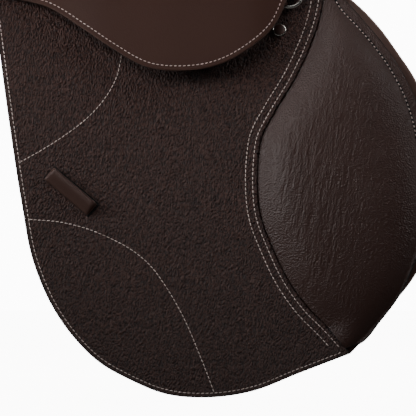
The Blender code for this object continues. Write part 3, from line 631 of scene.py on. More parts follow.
# Keeper calf: skived thin and rubbed, a shade lighter than the hide that it sits on
KEEPER_CALF = calf_leather("keeper_havana_calf", "#4A342E", "#3B2822", 0.48, 0.3, glint=0.30)
# Bridle hide: stuffed with grease and slicked, so it is smooth, redder and firm-edged
STRAP_HIDE = calf_leather("havana_bridle_hide", "#43271B", "#331C12", 0.50, 0.3)
# Sweat flap calf: its brown painted lighter, as painted light that keeps it from going dark in the shade of
# the knee pad, and its pale edge colour a painted highlight line along the rim
SWEAT_CALF_PAINTED_LIGHT = calf_leather("sweat_flap_calf_painted_light", "#62463D", "#4F3730", 0.45, 0.3, "#8A7067", glint=0.40)
THREAD_LINEN = linen_thread()
NICKEL = nickel_plate()
# Painted shade: near black and dead matt, standing for the shadow inside the keeper's slits and the stitches'
# awl holes
PAINTED_SHADE = plain_finish("painted_shade_black", "#060303", 0.95, spread=0.02)
# Baked lacquer over the nail's head: deep brown and glossy
LACQUER = plain_finish("brown_baked_lacquer", "#4A332D", 0.42, spread=0.05, bump=0.02)
# Forged steel, tumbled and left grey: soft wide highlights
STEEL = plain_finish("tumbled_forged_steel", "#8F8D8A", 0.38, metallic=1.0, dark="#77746F")
# Laminated beech, sanded and sealed: pale tan, matt
BEECH = plain_finish("sealed_laminated_beech", "#B98F62", 0.55, marks=0.012, dark="#9C744C")
# Tree paint brushed over the beech rails: near black, satin
TREE_PAINT = plain_finish("black_tree_paint", "#171311", 0.55)
# Cotton webbing: cream and matt, its weave showing as fine relief
WEBBING = plain_finish("woven_cotton_webbing", "#CFC3A8", 0.9, spread=0.05, bump_size=0.0012, bump=0.6,
                       dark="#B5A88C")
# Seat foam: open-celled, yellowish and quite matt
FOAM = plain_finish("open_cell_seat_foam", "#D8C98F", 0.95, spread=0.03, bump_size=0.0015, bump=0.8)


def wear(obj, material):
    obj.data.materials.clear()
    obj.data.materials.append(material)


# Stitching

def stitch_pattern():
    """One stitch: a short bulging length of thread along X, its ends dipping into the leather."""
    bpy.ops.object.select_all(action="DESELECT")
    bpy.ops.mesh.primitive_cylinder_add(vertices=6, radius=THREAD / 2, depth=STITCH_LENGTH,
                                        rotation=(0, math.pi / 2, 0))
    obj = bpy.context.object
    bpy.ops.object.transform_apply(location=True, rotation=True, scale=True)
    edit(obj)
    for share in (-0.32, 0, 0.32):
        bpy.ops.mesh.select_all(action="SELECT")
        bpy.ops.mesh.bisect(plane_co=(share * STITCH_LENGTH, 0, 0), plane_no=(1, 0, 0))
    done()
    points = coordinates(obj)
    ends = np.abs(points[:, 0]) / (STITCH_LENGTH / 2)
    points[:, 1:] *= (1 - 0.55 * ends**2.5)[:, None]
    points[:, 2] -= 0.42 * THREAD * ends**3
    move_to(obj, points)
    wear(obj, THREAD_LINEN)
    return obj


STITCH = stitch_pattern()


def stitch_row(name, line, offset):
    """Stitches along an (x, z) line on the right side; offset(x, z) is the leather's surface."""
    draw = random.Random(name)
    spots = smooth_line([tuple(p) for p in line], STITCH_PITCH)
    made = []
    for (x0, z0), (x1, z1) in zip(spots, spots[1:]):
        x, z = (x0 + x1) / 2, (z0 + z1) / 2
        low = Vector(on_drape(x0, z0, offset(x0, z0)))
        high = Vector(on_drape(x1, z1, offset(x1, z1)))
        run = (high - low).normalized()
        out = (facing(z) - facing(z).dot(run) * run).normalized()
        turn = Matrix((run, out.cross(run), out)).transposed().to_4x4()
        here = Vector(on_drape(x, z, offset(x, z) + 0.12 * THREAD))
        twist = Matrix.Rotation(math.radians(STITCH_SLANT + draw.uniform(-2, 2)), 4, "Z")
        made.append(stamped(STITCH, Matrix.Translation(here) @ turn @ twist))
    row = joined(made, name)
    smooth(row, 60)
    return row


def awl_hole_shades(name, line, offset):
    """Painted shade: near-black flattened dots at each stitch hole, for the shadow in the pits that the
    thread pulls into soft leather between its stitches.
    """
    spots = smooth_line([tuple(p) for p in line], STITCH_PITCH)
    bpy.ops.object.select_all(action="DESELECT")
    bpy.ops.mesh.primitive_uv_sphere_add(segments=8, ring_count=6, radius=AWL_PIT)
    pit = bpy.context.object
    flattened = Matrix.Diagonal((1, 0.45, 1, 1))
    made = []
    for x, z in spots:
        here = Matrix.Translation(on_drape(x, z, offset(x, z)))
        made.append(stamped(pit, here @ flattened))
    bpy.data.objects.remove(pit)
    holes = joined(made, name)
    smooth(holes, 60)
    wear(holes, PAINTED_SHADE)
    return holes


# Flap

EDGE_LOOPS = [0.15 * MM, 0.45 * MM, 1.0 * MM, 1.8 * MM, EDGE_TO_ROW]
ROW_DIP = 0.25 * MM
BAR_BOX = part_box("stirrup_bar_r")
CATCH_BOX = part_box("bar_catch_r")
WINDOW = ((CATCH_BOX[0].x - 6 * MM, 8.0 * MM), (BAR_BOX[1].x + 6 * MM, 31.0 * MM))


def make_flap():
    outline = FLAP_REAR_EDGE + [FLAP_TIP] + GRAIN_FRONT_EDGE
    obj, rim = cut_sheet("flap", outline, EDGE_LOOPS, 5 * MM, FLAP_THICK, WINDOW)
    flat = coordinates(obj)
    near, _ = reach(flat[:, [0, 2]], rim, closed=True)

    def level(x, z, outer):
        dip = ROW_DIP * np.exp(-((near - EDGE_TO_ROW) / (0.6 * MM)) ** 2)
        fall = rounded(near, 1.0 * MM)
        return np.where(outer, FLAP_OUT - fall - dip, LAYER + fall)

    lay(obj, level)
    to_front, _ = reach(flat[:, [0, 2]], smooth_line(GRAIN_FRONT_EDGE, 3 * MM))
    mark(obj, "rim", near + np.where(to_front < near + 0.2 * MM, 0.6 * MM, 0))
    smooth(obj)
    wear(obj, GRAIN)
    both_sides(obj, "flap_skin", "flap", ["flap"])


def make_lining():
    outline = FLAP_REAR_EDGE + [FLAP_TIP] + FLAP_FRONT_EDGE
    obj, rim = cut_sheet("lining", outline, EDGE_LOOPS[:4], 12 * MM, LINING_THICK, WINDOW)
    near, _ = reach(coordinates(obj)[:, [0, 2]], rim, closed=True)

    def level(x, z, outer):
        fall = rounded(near, 0.8 * MM)
        return np.where(outer, LINING_THICK - fall, fall)

    lay(obj, level)
    mark(obj, "rim", near)
    smooth(obj)
    wear(obj, STRAP_HIDE)
    both_sides(obj, "flap_lining_leather", "flap", ["flap_lining"])


# Knee pad: its front row's distance from the edge grows from the low end to the top, and its skin
# rises from that row over PAD_FRONT_RUN and from the grain hide over PAD_BACK_RUN
PAD_MARGIN_LOW, PAD_MARGIN_GAIN = 2.0 * MM, 4.6 * MM
PAD_FRONT_RUN, PAD_BACK_RUN = 9 * MM, 15 * MM
PAD_ROW_TOP, PAD_ROW_BOTTOM = 0.012, -0.150
PUCKER, PUCKER_PITCH = 0.22 * MM, 6.4 * MM
PAD_ROW_DIP = 0.8 * MM


def pad_margin(z):
    """How far the pad's front row runs from the flap's edge at a height."""
    return PAD_MARGIN_LOW + PAD_MARGIN_GAIN * ease((z + 0.215) / 0.080)


def make_knee_pad():
    grain = smooth_line(list(reversed(GRAIN_FRONT_EDGE[:-2])), 6 * MM)
    tucked = inside_line(grain, GAP)[1:-1]
    front = [(0.2520, -0.2500)] + FLAP_FRONT_EDGE[:-3] + [(0.2335, 0.0150, "v"), (0.2262, 0.0150, "v")]
    outline = [(0.2400, -0.2535, "v")] + front + [tuple(p) for p in tucked]
    obj, rim = cut_sheet("pad", outline, [0.15 * MM, 0.45 * MM, 1.0 * MM, 2 * MM, 3 * MM], 2.2 * MM, PAD_SKIN,
                         rim_step=2.5 * MM)
    flat = coordinates(obj)[:, [0, 2]]
    near, _ = reach(flat, rim, closed=True)
    edge = smooth_line([(0.2445, -0.2572)] + FLAP_FRONT_EDGE, 2.5 * MM)
    row = inside_line(edge, pad_margin(edge[:, 1])[:, None])
    to_row, along = reach(flat, row)
    to_edge, _ = reach(flat, edge)
    to_grain, _ = reach(flat, smooth_line(GRAIN_FRONT_EDGE, 3 * MM))
    past = np.where(to_edge > pad_margin(flat[:, 1]), to_row, -to_row)

    def level(x, z, outer):
        front = 1 - np.exp(-np.clip(past - 0.6 * MM, 0, None) / PAD_FRONT_RUN)
        back = 1 - np.exp(-((to_grain / PAD_BACK_RUN) ** 1.5))
        crown = 1 - 0.30 * np.clip((x - 0.222) / 0.075, -0.5, 1.2) ** 2
        crown -= 0.40 * np.clip((-0.10 - z) / 0.14, 0, 1.3) ** 2
        rise = (PAD_TOP - PAD_SKIN) * front * back * crown
        ripple = np.sin(along / PUCKER_PITCH * math.tau + 1.3 * np.sin(along / (23 * MM)))
        pucker = PUCKER * ripple * np.exp(-np.abs(past - 3 * MM) / (5 * MM)) * (past > 0)
        dip = PAD_ROW_DIP * np.exp(-(past / (1.7 * MM)) ** 2)
        fall = rounded(near, 0.7 * MM)
        top = LAYER + PAD_SKIN + rise + pucker - dip - fall
        return np.where(outer, top, LAYER + np.minimum(fall, 0.3 * MM))

    lay(obj, level)
    mark(obj, "rim", np.where((to_edge < 3 * MM) & (flat[:, 1] < -0.16), near, near + 0.8 * MM))
    middle = np.exp(-(((flat[:, 0] - 0.218) / 0.040) ** 2) - ((flat[:, 1] + 0.135) / 0.085) ** 2)
    mark(obj, "folds", (0.12 + 0.88 * middle) * ease((to_grain - 7 * MM) / (10 * MM)))
    smooth(obj, 60)
    wear(obj, PAD_CALF)
    both_sides(obj, "knee_pad_leather", "flap", ["knee_pad"])
    make_knee_pad_row(row)


def make_knee_pad_row(row):
    """The stitches along the knee pad's front seam, and near-black dots of painted shade at their awl holes.
    """
    def surface(x, z):
        return LAYER + PAD_SKIN - 0.3 * MM

    def sunk(x, z):
        return surface(x, z) - 0.15 * MM

    keep = (row[:, 1] < PAD_ROW_TOP) & (row[:, 1] > PAD_ROW_BOTTOM)
    both_sides(stitch_row("pad_row", row[keep], surface), "knee_pad_row", "flap")
    both_sides(awl_hole_shades("pad_pit_shades", row[keep], sunk), "knee_pad_pit_shades", "flap")


def make_flap_rows():
    def surface(x, z):
        return FLAP_OUT

    def groove(x, z):
        return FLAP_OUT - ROW_DIP

    front_edge = smooth_line([FLAP_TIP[:2]] + GRAIN_FRONT_EDGE, 3 * MM)
    rear = inside_line(smooth_line(FLAP_REAR_EDGE + [FLAP_TIP[:2]], 3 * MM), EDGE_TO_ROW)
    outer = inside_line(front_edge, EDGE_TO_ROW)[3:]
    inner = inside_line(front_edge, EDGE_TO_ROW + ROW_TO_ROW)[5:]
    rear = rear[(rear[:, 1] < FLAP_ROW_TOP) & (rear[:, 0] < FLAP_TIP[0] - 6.5 * MM)]
    outer = outer[outer[:, 1] < FLAP_ROW_TOP]
    inner = inner[inner[:, 1] < FLAP_ROW_TOP]
    for name, line, level in (
        ("flap_edge_row", rear, groove),
        ("front_outer_row", outer, groove),
        ("front_inner_row", inner, surface),
        ("rear_sweep_row", REAR_SWEEP, surface),
        ("lower_sweep_row", LOWER_SWEEP, surface),
    ):
        both_sides(stitch_row(name, line, level), name, "flap")


def skirt_lift(x, z):
    """How far the skirt stands off the flap, over the stirrup bar and its ring."""
    rear = ease((x + 0.020) / 0.080)
    front = 1 - 0.35 * ease((x - 0.170) / 0.030)
    return SKIRT_RISE * rear * front * ease((HINGE_Z - z) / SKIRT_RAMP)


def make_skirt():
    obj, rim = cut_sheet("skirt", SKIRT_EDGE, EDGE_LOOPS, 5 * MM, SKIRT_THICK)
    near, _ = reach(coordinates(obj)[:, [0, 2]], rim, closed=True)

    def level(x, z, outer):
        base = FLAP_OUT + GAP + skirt_lift(x, z)
        dip = ROW_DIP * np.exp(-((near - EDGE_TO_ROW - 0.5 * MM) / (0.6 * MM)) ** 2)
        fall = rounded(near, 1.2 * MM)
        return np.where(outer, base + SKIRT_THICK - fall - dip, base + fall)

    lay(obj, level)
    mark(obj, "rim", near + 0.5 * MM)
    smooth(obj)
    wear(obj, SKIRT_CALF)
    both_sides(obj, "skirt_leather", "skirt", ["skirt"])
    line = inside_line(smooth_line(SKIRT_EDGE, 3 * MM), EDGE_TO_ROW + 0.5 * MM)
    line = line[line[:, 1] < 0.060]

    def surface(x, z):
        return float(FLAP_OUT + GAP + skirt_lift(x, z) + SKIRT_THICK - ROW_DIP)

    both_sides(stitch_row("skirt_row", line, surface), "skirt_edge_row", "skirt")


def make_sweat_flap():
    obj, rim = cut_sheet("sweat", SWEAT_EDGE, EDGE_LOOPS, 12 * MM, SWEAT_THICK)
    near, _ = reach(coordinates(obj)[:, [0, 2]], rim, closed=True)

    def level(x, z, outer):
        fall = rounded(near, 1.4 * MM)
        return np.where(outer, SWEAT_OUT - fall, SWEAT_OUT - SWEAT_THICK + fall)

    lay(obj, level)
    mark(obj, "rim", near)
    smooth(obj)
    # The sweat flap wears a calf painted lighter than the leather is, with a painted highlight line along its
    # rim
    wear(obj, SWEAT_CALF_PAINTED_LIGHT)
    both_sides(obj, "sweat_flap_leather", "root", ["sweat_flap"])


# Stage and camera

AMBIENT = 0.03
WHITE_WALL = 12.0
FLOOR_GLOW = 11.6
MIDDLE = (0.14, 0, -0.12)
VIEW_WIDTH = 0.312
VIEW_X, VIEW_Z = 0.138, -0.1485
LEATHER_Y = -0.160
LEATHER_TO_LENS = 8.0
# Each lamp's name, place, aim, size, power in watts and spread in degrees
SOFTBOXES = (
    ("key_softbox", (-0.12, -0.60, 0.36), (0.08, -0.19, 0.0), 0.30, 0.225, 50),
    ("side_softbox", (-0.62, -0.40, 0.16), (-0.04, -0.18, -0.02), 0.30, 0.205, 44),
    ("rim_softbox", (1.5, -0.25, 1.0), MIDDLE, 0.6, 3, 180),
    ("top_softbox", (0.0, 0.1, 2.0), MIDDLE, 1.6, 12, 180),
    ("back_softbox", (-0.6, 2.2, 1.2), MIDDLE, 1.6, 38, 180),
    ("rear_softbox", (-2.0, -0.7, 0.9), (0.0, 0, -0.05), 1.2, 7, 180),
    ("edge_softbox", (0.75, -0.36, 0.30), (0.31, -0.16, -0.03), 0.2, 0.045, 40),
)


def make_stage():
    bpy.ops.object.select_all(action="DESELECT")
    bpy.ops.mesh.primitive_circle_add(vertices=96, radius=7, fill_type="NGON", location=(0, 0, 0))
    floor = bpy.context.object
    floor.name = "studio_floor"
    move_to(floor, coordinates(floor) + np.array([0, 0, CAD_BOX[0].z - 4 * MM]))
    wear(floor, pale_floor())
    world = bpy.data.worlds.new("studio")
    bpy.context.scene.world = world
    world.use_nodes = True
    tree = world.node_tree
    seen = add(tree, "ShaderNodeLightPath").outputs["Is Camera Ray"]
    glow = add(tree, "ShaderNodeMapRange", {"Value": seen, "To Min": AMBIENT, "To Max": WHITE_WALL})
    tree.nodes["Background"].inputs["Color"].default_value = (1, 1, 1, 1)
    tree.links.new(glow.outputs[0], tree.nodes["Background"].inputs["Strength"])
    for name, spot, aim, size, power, spread in SOFTBOXES:
        data = bpy.data.lights.new(name, "AREA")
        data.size = size
        data.energy = power
        data.spread = math.radians(spread)
        lamp = bpy.data.objects.new(name, data)
        lamp.visible_camera = False
        lamp.location = spot
        lamp.rotation_euler = (Vector(aim) - Vector(spot)).to_track_quat("-Z", "Y").to_euler()
        bpy.context.scene.collection.objects.link(lamp)


def make_camera():
    """Square to the right side, far enough back to flatten the view."""
    data = bpy.data.cameras.new("camera")
    camera = bpy.data.objects.new("camera", data)
    bpy.context.scene.collection.objects.link(camera)
    data.sensor_width = 36
    data.lens = data.sensor_width * LEATHER_TO_LENS / VIEW_WIDTH
    data.clip_end = 50
    camera.location = (VIEW_X, LEATHER_Y - LEATHER_TO_LENS, VIEW_Z)
    camera.rotation_euler = (math.pi / 2, 0, 0)
    bpy.context.scene.camera = camera


# Copies of frame solids, finished as padding or as folded leather

CLOTH_FRAMES = 20
CLOTH_PRESSURE = 4.0

def taken(node, name):
    """A copy of a frame solid's mesh, its points merged."""
    source = frame["nodes"][node]
    bpy.ops.object.select_all(action="DESELECT")
    bpy.ops.mesh.primitive_cube_add(size=0.01)
    obj = bpy.context.object
    obj.data = source.data.copy()
    obj.name = name
    obj.data.materials.clear()
    edit(obj, "VERT")
    bpy.ops.mesh.remove_doubles(threshold=0.00002)
    bpy.ops.mesh.normals_make_consistent(inside=False)
    done()
    return obj


def hold_within(obj, start, cap):
    """Draws back any point that has gone further than cap from where it started."""
    now = coordinates(obj)
    shift = now - start
    far = np.linalg.norm(shift, axis=1)
    scale = np.minimum(1, cap / np.maximum(far, 1e-9))
    move_to(obj, start + shift * scale[:, None])


def stuffed(obj, voxel, shrink, cap, passes=4):
    """Shrinks a closed shape, blows it up as cloth by at most cap, and rounds it."""
    bake_in(obj, "REMESH", mode="VOXEL", voxel_size=voxel)
    edit(obj)
    bpy.ops.transform.shrink_fatten(value=-shrink)
    for _ in range(passes):
        bpy.ops.mesh.vertices_smooth(factor=0.5)
    done()
    start = coordinates(obj)
    pick(obj)
    step = obj.modifiers.new("CLOTH", "CLOTH")
    step.settings.use_pressure = True
    step.settings.uniform_pressure_force = CLOTH_PRESSURE
    step.settings.quality = 4
    step.settings.tension_stiffness = 25
    step.settings.effector_weights.gravity = 0
    step.point_cache.frame_start = 1
    step.point_cache.frame_end = CLOTH_FRAMES
    for number in range(1, CLOTH_FRAMES + 1):
        bpy.context.scene.frame_set(number)
    bpy.ops.object.modifier_apply(modifier=step.name)
    bpy.context.scene.frame_set(1)
    hold_within(obj, start, cap)
    bake_in(obj, "SUBSURF", levels=1, render_levels=1)
    smooth(obj, 70)
    no_inked_edge(obj)


def folded(node, name, material, body, bevel=0.5 * MM, angle=30):
    """A small leather or metal piece made from its frame solid, with its edges rounded."""
    obj = taken(node, name)
    edit(obj)
    bpy.ops.mesh.dissolve_limited(angle_limit=math.radians(3))
    done()
    bake_in(obj, "BEVEL", width=bevel, segments=3, limit_method="ANGLE", angle_limit=math.radians(angle),
            use_clamp_overlap=True)
    no_inked_edge(obj)
    smooth(obj, 35)
    wear(obj, material)
    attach(obj, body)
    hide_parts(node)
    return obj


# Seat

SEAT_REAR = -0.237
SEAT_FRONT = 0.205
SEAT_SPAN = SEAT_FRONT - SEAT_REAR
COVER_THICK = 3.0 * MM
COVER_RIM = 6.0 * MM
ROW_LIFT = 0.15 * MM
CANTLE_ROUND = 45 * MM
POMMEL_ROUND = 18 * MM
SEAT_EDGE_Z = [(0, 0.128), (0.106, 0.108), (0.287, 0.080), (0.434, 0.070), (0.853, 0.070), (1, 0.074)]
SEAT_HALF = [(0.118, 0.145), (0.310, 0.10375), (0.423, 0.0765), (0.853, 0.0765), (1, 0.066)]
SEAT_CROWN = [
    (0, 0.155), (0.050, 0.163), (0.287, 0.096), (0.480, 0.080), (0.672, 0.090), (0.943, 0.135), (1, 0.129),
]
# Shares of the half-width where the seat's pipings and the rows beside them run
PIPING_ACROSS = 0.80
ROW_ACROSS = 0.035
PIPING_LIFT = 0.2 * MM
CANTLE_ROWS = 3.2 * MM


def along_seat(points, x):
    """A smooth blend through (share of the seat's length, value) points."""
    shares = np.array([p[0] for p in points])
    values = np.array([p[1] for p in points])
    place = np.clip((np.asarray(x, float) - SEAT_REAR) / SEAT_SPAN, shares[0], shares[-1])
    index = np.clip(np.searchsorted(shares, place, side="right") - 1, 0, len(shares) - 2)
    part = (place - shares[index]) / (shares[index + 1] - shares[index])
    return values[index] + (values[index + 1] - values[index]) * ease(part)


def seat_point(length, across):
    """The seat cover's outer surface: length from 0 at the rear to 1, across from -1 to 1."""
    rear = SEAT_REAR + CANTLE_ROUND * np.abs(across) ** 2.5
    front = SEAT_FRONT - POMMEL_ROUND * across * across
    x = rear + (front - rear) * length
    edge = along_seat(SEAT_EDGE_Z, x) + COVER_RIM
    z = edge + (along_seat(SEAT_CROWN, x) - edge) * (1 - np.abs(across) ** 2.8)
    return x, across * along_seat(SEAT_HALF, x), z


def make_seat():
    across_cells, length_cells, turn = 52, 84, 4
    obj, grid = unit_grid("seat_leather", length_cells, across_cells)
    i, j = grid[:, 0] * length_cells, grid[:, 1] * across_cells
    length = np.clip((i - turn) / (length_cells - 2 * turn), 0, 1)
    across = np.clip((j - turn) / (across_cells - 2 * turn), 0, 1) * 2 - 1
    x, y, z = seat_point(length, across)
    low = along_seat(SEAT_EDGE_Z, x)
    past_rim = [turn - i, i - length_cells + turn, turn - j, j - across_cells + turn, 0 * i]
    down = np.maximum.reduce(past_rim) / turn
    z = z + (low - z) * down
    middle = 0.5 * (SEAT_FRONT + SEAT_REAR)
    crease = np.exp(-((np.abs(across) - PIPING_ACROSS) / 0.022) ** 2) * (length > 0.02) * (1 - down)
    z = z - 1.3 * MM * crease
    dimple = np.exp(-(y / 0.0016) ** 2) * (length < 0.33)
    z = z - 0.6 * MM * dimple * (1 - down)
    x = middle + (x - middle) * (1 - 0.004 * down)
    move_to(obj, np.stack([x, y, z], axis=1))
    edit(obj)
    for _ in range(2):
        bpy.ops.mesh.vertices_smooth(factor=0.4)
    bpy.ops.mesh.normals_make_consistent(inside=False)
    done()
    if obj.data.polygons[len(obj.data.polygons) // 2].normal.z < 0:
        edit(obj)
        bpy.ops.mesh.flip_normals()
        done()
    bake_in(obj, "SOLIDIFY", thickness=COVER_THICK, offset=-1)
    bake_in(obj, "SUBSURF", levels=1, render_levels=1)
    no_inked_edge(obj)
    smooth(obj, 60)
    wear(obj, PAD_CALF)
    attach(obj, "root")
    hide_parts("seat_cover")


def make_seat_seams():
    """The pipings and stitch rows along the seat's sides, and the two rows on the cantle's middle seam."""
    for sign, tag in ((-1, "r"), (1, "l")):
        shares = np.linspace(0.04, 0.97, 80)
        raised = Vector((0, 0, PIPING_LIFT))
        spots = [Vector(seat_point(share, sign * PIPING_ACROSS)) + raised for share in shares]
        piping(f"seat_piping_{tag}", spots, 1.5 * MM)
        for offset, label in ((PIPING_ACROSS - ROW_ACROSS, "inner"), (PIPING_ACROSS + ROW_ACROSS, "outer")):
            spots = [Vector(seat_point(share, sign * offset)) for share in shares]
            root_stitches(f"seat_{label}_row_{tag}", spots, Vector((0, 0, 1)))
    middle_line = [Vector(seat_point(share, 0.0)) for share in np.linspace(0.02, 0.32, 40)]
    for shift in (-CANTLE_ROWS, CANTLE_ROWS):
        moved = [spot + Vector((0, shift, 0)) for spot in middle_line]
        root_stitches(f"cantle_row_{'l' if shift > 0 else 'r'}", moved, Vector((0, 0, 1)))


def piping(name, spots, radius, replaces=None):
    """A round leather piping along points."""
    obj = rod(name, spots, radius, 3)
    no_inked_edge(obj)
    smooth(obj, 50)
    wear(obj, SKIRT_CALF)
    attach(obj, "root")
    if replaces:
        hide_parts(replaces)


def root_stitches(name, spots, up):
    """Stitches along 3-D points, on a surface that faces up."""
    points = np.array(spots, float)
    along = np.concatenate([[0], np.cumsum(np.linalg.norm(np.diff(points, axis=0), axis=1))])
    count = max(2, round(along[-1] / STITCH_PITCH))
    stops = np.linspace(0, along[-1], count + 1)
    ends = [Vector([np.interp(s, along, points[:, k]) for k in range(3)]) for s in stops]
    made = []
    for low, high in zip(ends, ends[1:]):
        run = (high - low).normalized()
        out = (up - up.dot(run) * run).normalized()
        turn = Matrix((run, out.cross(run), out)).transposed().to_4x4()
        made.append(stamped(STITCH, Matrix.Translation((low + high) / 2 + ROW_LIFT * out) @ turn))
    row = joined(made, name)
    smooth(row, 60)
    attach(row, "root")


def make_cantle_facing():
    """The leather between the cantle's underside and the panels."""
    lines = []
    for share in np.linspace(0.455, 0.006, 40):
        lines.append((share, 1.0))
    for across in np.linspace(1.0, -1.0, 70)[1:-1]:
        lines.append((0.006, across))
    for share in np.linspace(0.006, 0.455, 40):
        lines.append((share, -1.0))
    obj, grid = unit_grid("cantle_facing", len(lines) - 1, 9)
    spots = np.empty_like(grid)
    for index, (a, b, _) in enumerate(grid):
        share, across = lines[round(a * (len(lines) - 1))]
        x, y, _ = (float(v) for v in seat_point(share, across))
        top = float(along_seat(SEAT_EDGE_Z, x)) + 3.0 * MM
        rear = float(ease((-0.030 - x) / 0.150))
        low = (1 - rear) * 0.040 + rear * 0.046
        sink = 1 - b
        middle = Vector((x + 0.016 * rear, y * (0.97 - 0.20 * rear)))
        belly = 3.0 * MM * math.sin(math.pi * sink)
        lean = sink ** 1.6
        tuck = math.copysign(3.9 * MM, y) if abs(y) > 10 * MM else 0
        spots[index] = (x * (1 - lean) + middle.x * lean + 1.6 * MM * rear,
                        (y * (1 - lean) + middle.y * lean) * (1 + belly) - tuck * abs(across) ** 2,
                        top + (low - top) * sink)
    move_to(obj, spots)
    bake_in(obj, "SOLIDIFY", thickness=2.0 * MM, offset=0)
    bake_in(obj, "SUBSURF", levels=1, render_levels=1)
    outward(obj)
    no_inked_edge(obj)
    smooth(obj, 60)
    wear(obj, SKIRT_CALF)
    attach(obj, "root")


def make_pommel_cover():
    """Soft calf drawn over the front of the tree's head."""
    head = taken("tree_head", "pommel_arch_cover")
    bake_in(head, "REMESH", mode="VOXEL", voxel_size=2.5 * MM)
    edit(head)
    bpy.ops.transform.shrink_fatten(value=1.2 * MM)
    for _ in range(6):
        bpy.ops.mesh.vertices_smooth(factor=0.5)
    done()
    no_inked_edge(head)
    smooth(head, 70)
    wear(head, SKIRT_CALF)
    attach(head, "root")
    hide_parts("tree_head")


# Flap hinge leather: where it starts and how long it is, how wide, and how far it sags to the flap
HINGE_LEATHER_X, HINGE_LEATHER_LONG = -0.026, 0.238
HINGE_LEATHER_IN, HINGE_LEATHER_WIDE = 19 * MM, 20.4 * MM
HINGE_LEATHER_DROP, HINGE_LEATHER_SAG = 3.4 * MM, 3.2 * MM


def make_hinge_strips():
    """The leather that the flap hangs by, nailed to the tree under the seat's edge."""
    for tag, side in (("l", 1), ("r", -1)):
        obj, grid = unit_grid(f"flap_hinge_leather_{tag}", 50, 10)
        x = HINGE_LEATHER_X + HINGE_LEATHER_LONG * grid[:, 0]
        out = grid[:, 1]
        y = HINGE_Y - HINGE_LEATHER_IN + HINGE_LEATHER_WIDE * out
        z = HINGE_Z - HINGE_LEATHER_DROP - HINGE_LEATHER_SAG * out ** 2
        move_to(obj, np.stack([x, side * y, z], axis=1))
        bake_in(obj, "SOLIDIFY", thickness=1.6 * MM, offset=0)
        outward(obj)
        no_inked_edge(obj)
        smooth(obj, 60)
        wear(obj, STRAP_HIDE)
        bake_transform(obj)


def make_welts():
    for tag, side in (("l", 1), ("r", -1)):
        spots = []
        for x in np.linspace(-0.047, 0.180, 60):
            y = float(along_seat(SEAT_HALF, x)) + 3.6 * MM
            spots.append(Vector((x, side * y, float(along_seat(SEAT_EDGE_Z, x)) + 4.5 * MM)))
        piping(f"seat_welt_piping_{tag}", spots, 2.2 * MM, replaces=f"seat_welt_{tag}")


def make_panels():
    for tag in ("l", "r"):
        obj = taken(f"panel_{tag}", f"panel_leather_{tag}")
        stuffed(obj, 5 * MM, 2.0 * MM, 5 * MM, passes=12)
        wear(obj, PAD_CALF)
        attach(obj, "root")
        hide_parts(f"panel_{tag}")


def make_blocks():
    for tag in ("l", "r"):
        for node, name in (("knee_block", "knee_block_calf"), ("thigh_block", "thigh_block_calf")):
            obj = taken(f"{node}_{tag}", f"{name}_{tag}")
            stuffed(obj, 2.5 * MM, 1.0 * MM, 2.0 * MM)
            wear(obj, PAD_CALF)
            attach(obj, "root")
            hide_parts(f"{node}_{tag}")
        folded(f"point_pocket_{tag}", f"point_pocket_leather_{tag}", STRAP_HIDE, "root")


# Girth straps

STRAP_BOTTOM = -0.240
STRAP_TOP = 0.012
STRAP_HALF = 12.5 * MM
STRAP_IN = -10.5 * MM
STRAP_THICK = 3.5 * MM
HOLE_PITCH = 25.4 * MM
HOLE_RADIUS = 2.5 * MM
FIRST_HOLE = 22 * MM
SKIVE_START, SKIVE_RUN, SKIVE_DEPTH = -0.2165, 3.0 * MM, 0.5 * MM
STRAP_SPOTS = (("rear", 0.051), ("middle", 0.083), ("front", 0.115))
STRAP_ROW_SIDE, STRAP_ROW_BOTTOM = 9 * MM, -0.212
HOLES = 6


def make_straps():
    for name, x in STRAP_SPOTS:
        outline = [
            (x - STRAP_HALF, STRAP_TOP, "v"), (x - STRAP_HALF, STRAP_BOTTOM + 9 * MM, "v"),
            (x - 6 * MM, STRAP_BOTTOM + 1 * MM), (x, STRAP_BOTTOM), (x + 6 * MM, STRAP_BOTTOM + 1 * MM),
            (x + STRAP_HALF, STRAP_BOTTOM + 9 * MM, "v"), (x + STRAP_HALF, STRAP_TOP, "v"),
        ]
        obj, rim = cut_sheet("strap", outline, EDGE_LOOPS[:4], 10 * MM, STRAP_THICK, rim_step=3 * MM)
        cutters = []
        for index in range(HOLES):
            spot = STRAP_BOTTOM + FIRST_HOLE + HOLE_PITCH * index
            bpy.ops.object.select_all(action="DESELECT")
            bpy.ops.mesh.primitive_cylinder_add(vertices=20, radius=HOLE_RADIUS, depth=20 * MM,
                                                rotation=(math.pi / 2, 0, 0), location=(x, 0, spot))
            cutters.append(bpy.context.object)
        punch = joined(cutters, "punch")
        bake_in(obj, "BOOLEAN", operation="DIFFERENCE", object=punch, solver="EXACT")
        bpy.data.objects.remove(punch)
        near, _ = reach(coordinates(obj)[:, [0, 2]], rim, closed=True)

        def level(x, z, outer):
            fall = rounded(near, 1.0 * MM)
            wall = STRAP_THICK - SKIVE_DEPTH * np.clip((SKIVE_START - z) / SKIVE_RUN, 0, 1)
            return np.where(outer, STRAP_IN + wall - fall, STRAP_IN + fall)

        lay(obj, level)
        mark(obj, "rim", near)
        smooth(obj)
        wear(obj, STRAP_HIDE)
        both_sides(obj, f"girth_strap_{name}_hide", "girth_straps", [f"girth_strap_{name}"])
        for index, side in enumerate((x - STRAP_ROW_SIDE, x + STRAP_ROW_SIDE)):
            line = [(side, STRAP_TOP - 6 * MM), (side, STRAP_ROW_BOTTOM)]
            row = stitch_row(f"strap_row_{name}_{index}", line, lambda x, z: STRAP_IN + STRAP_THICK)
            both_sides(row, f"strap_{name}_row_{index}", "girth_straps")


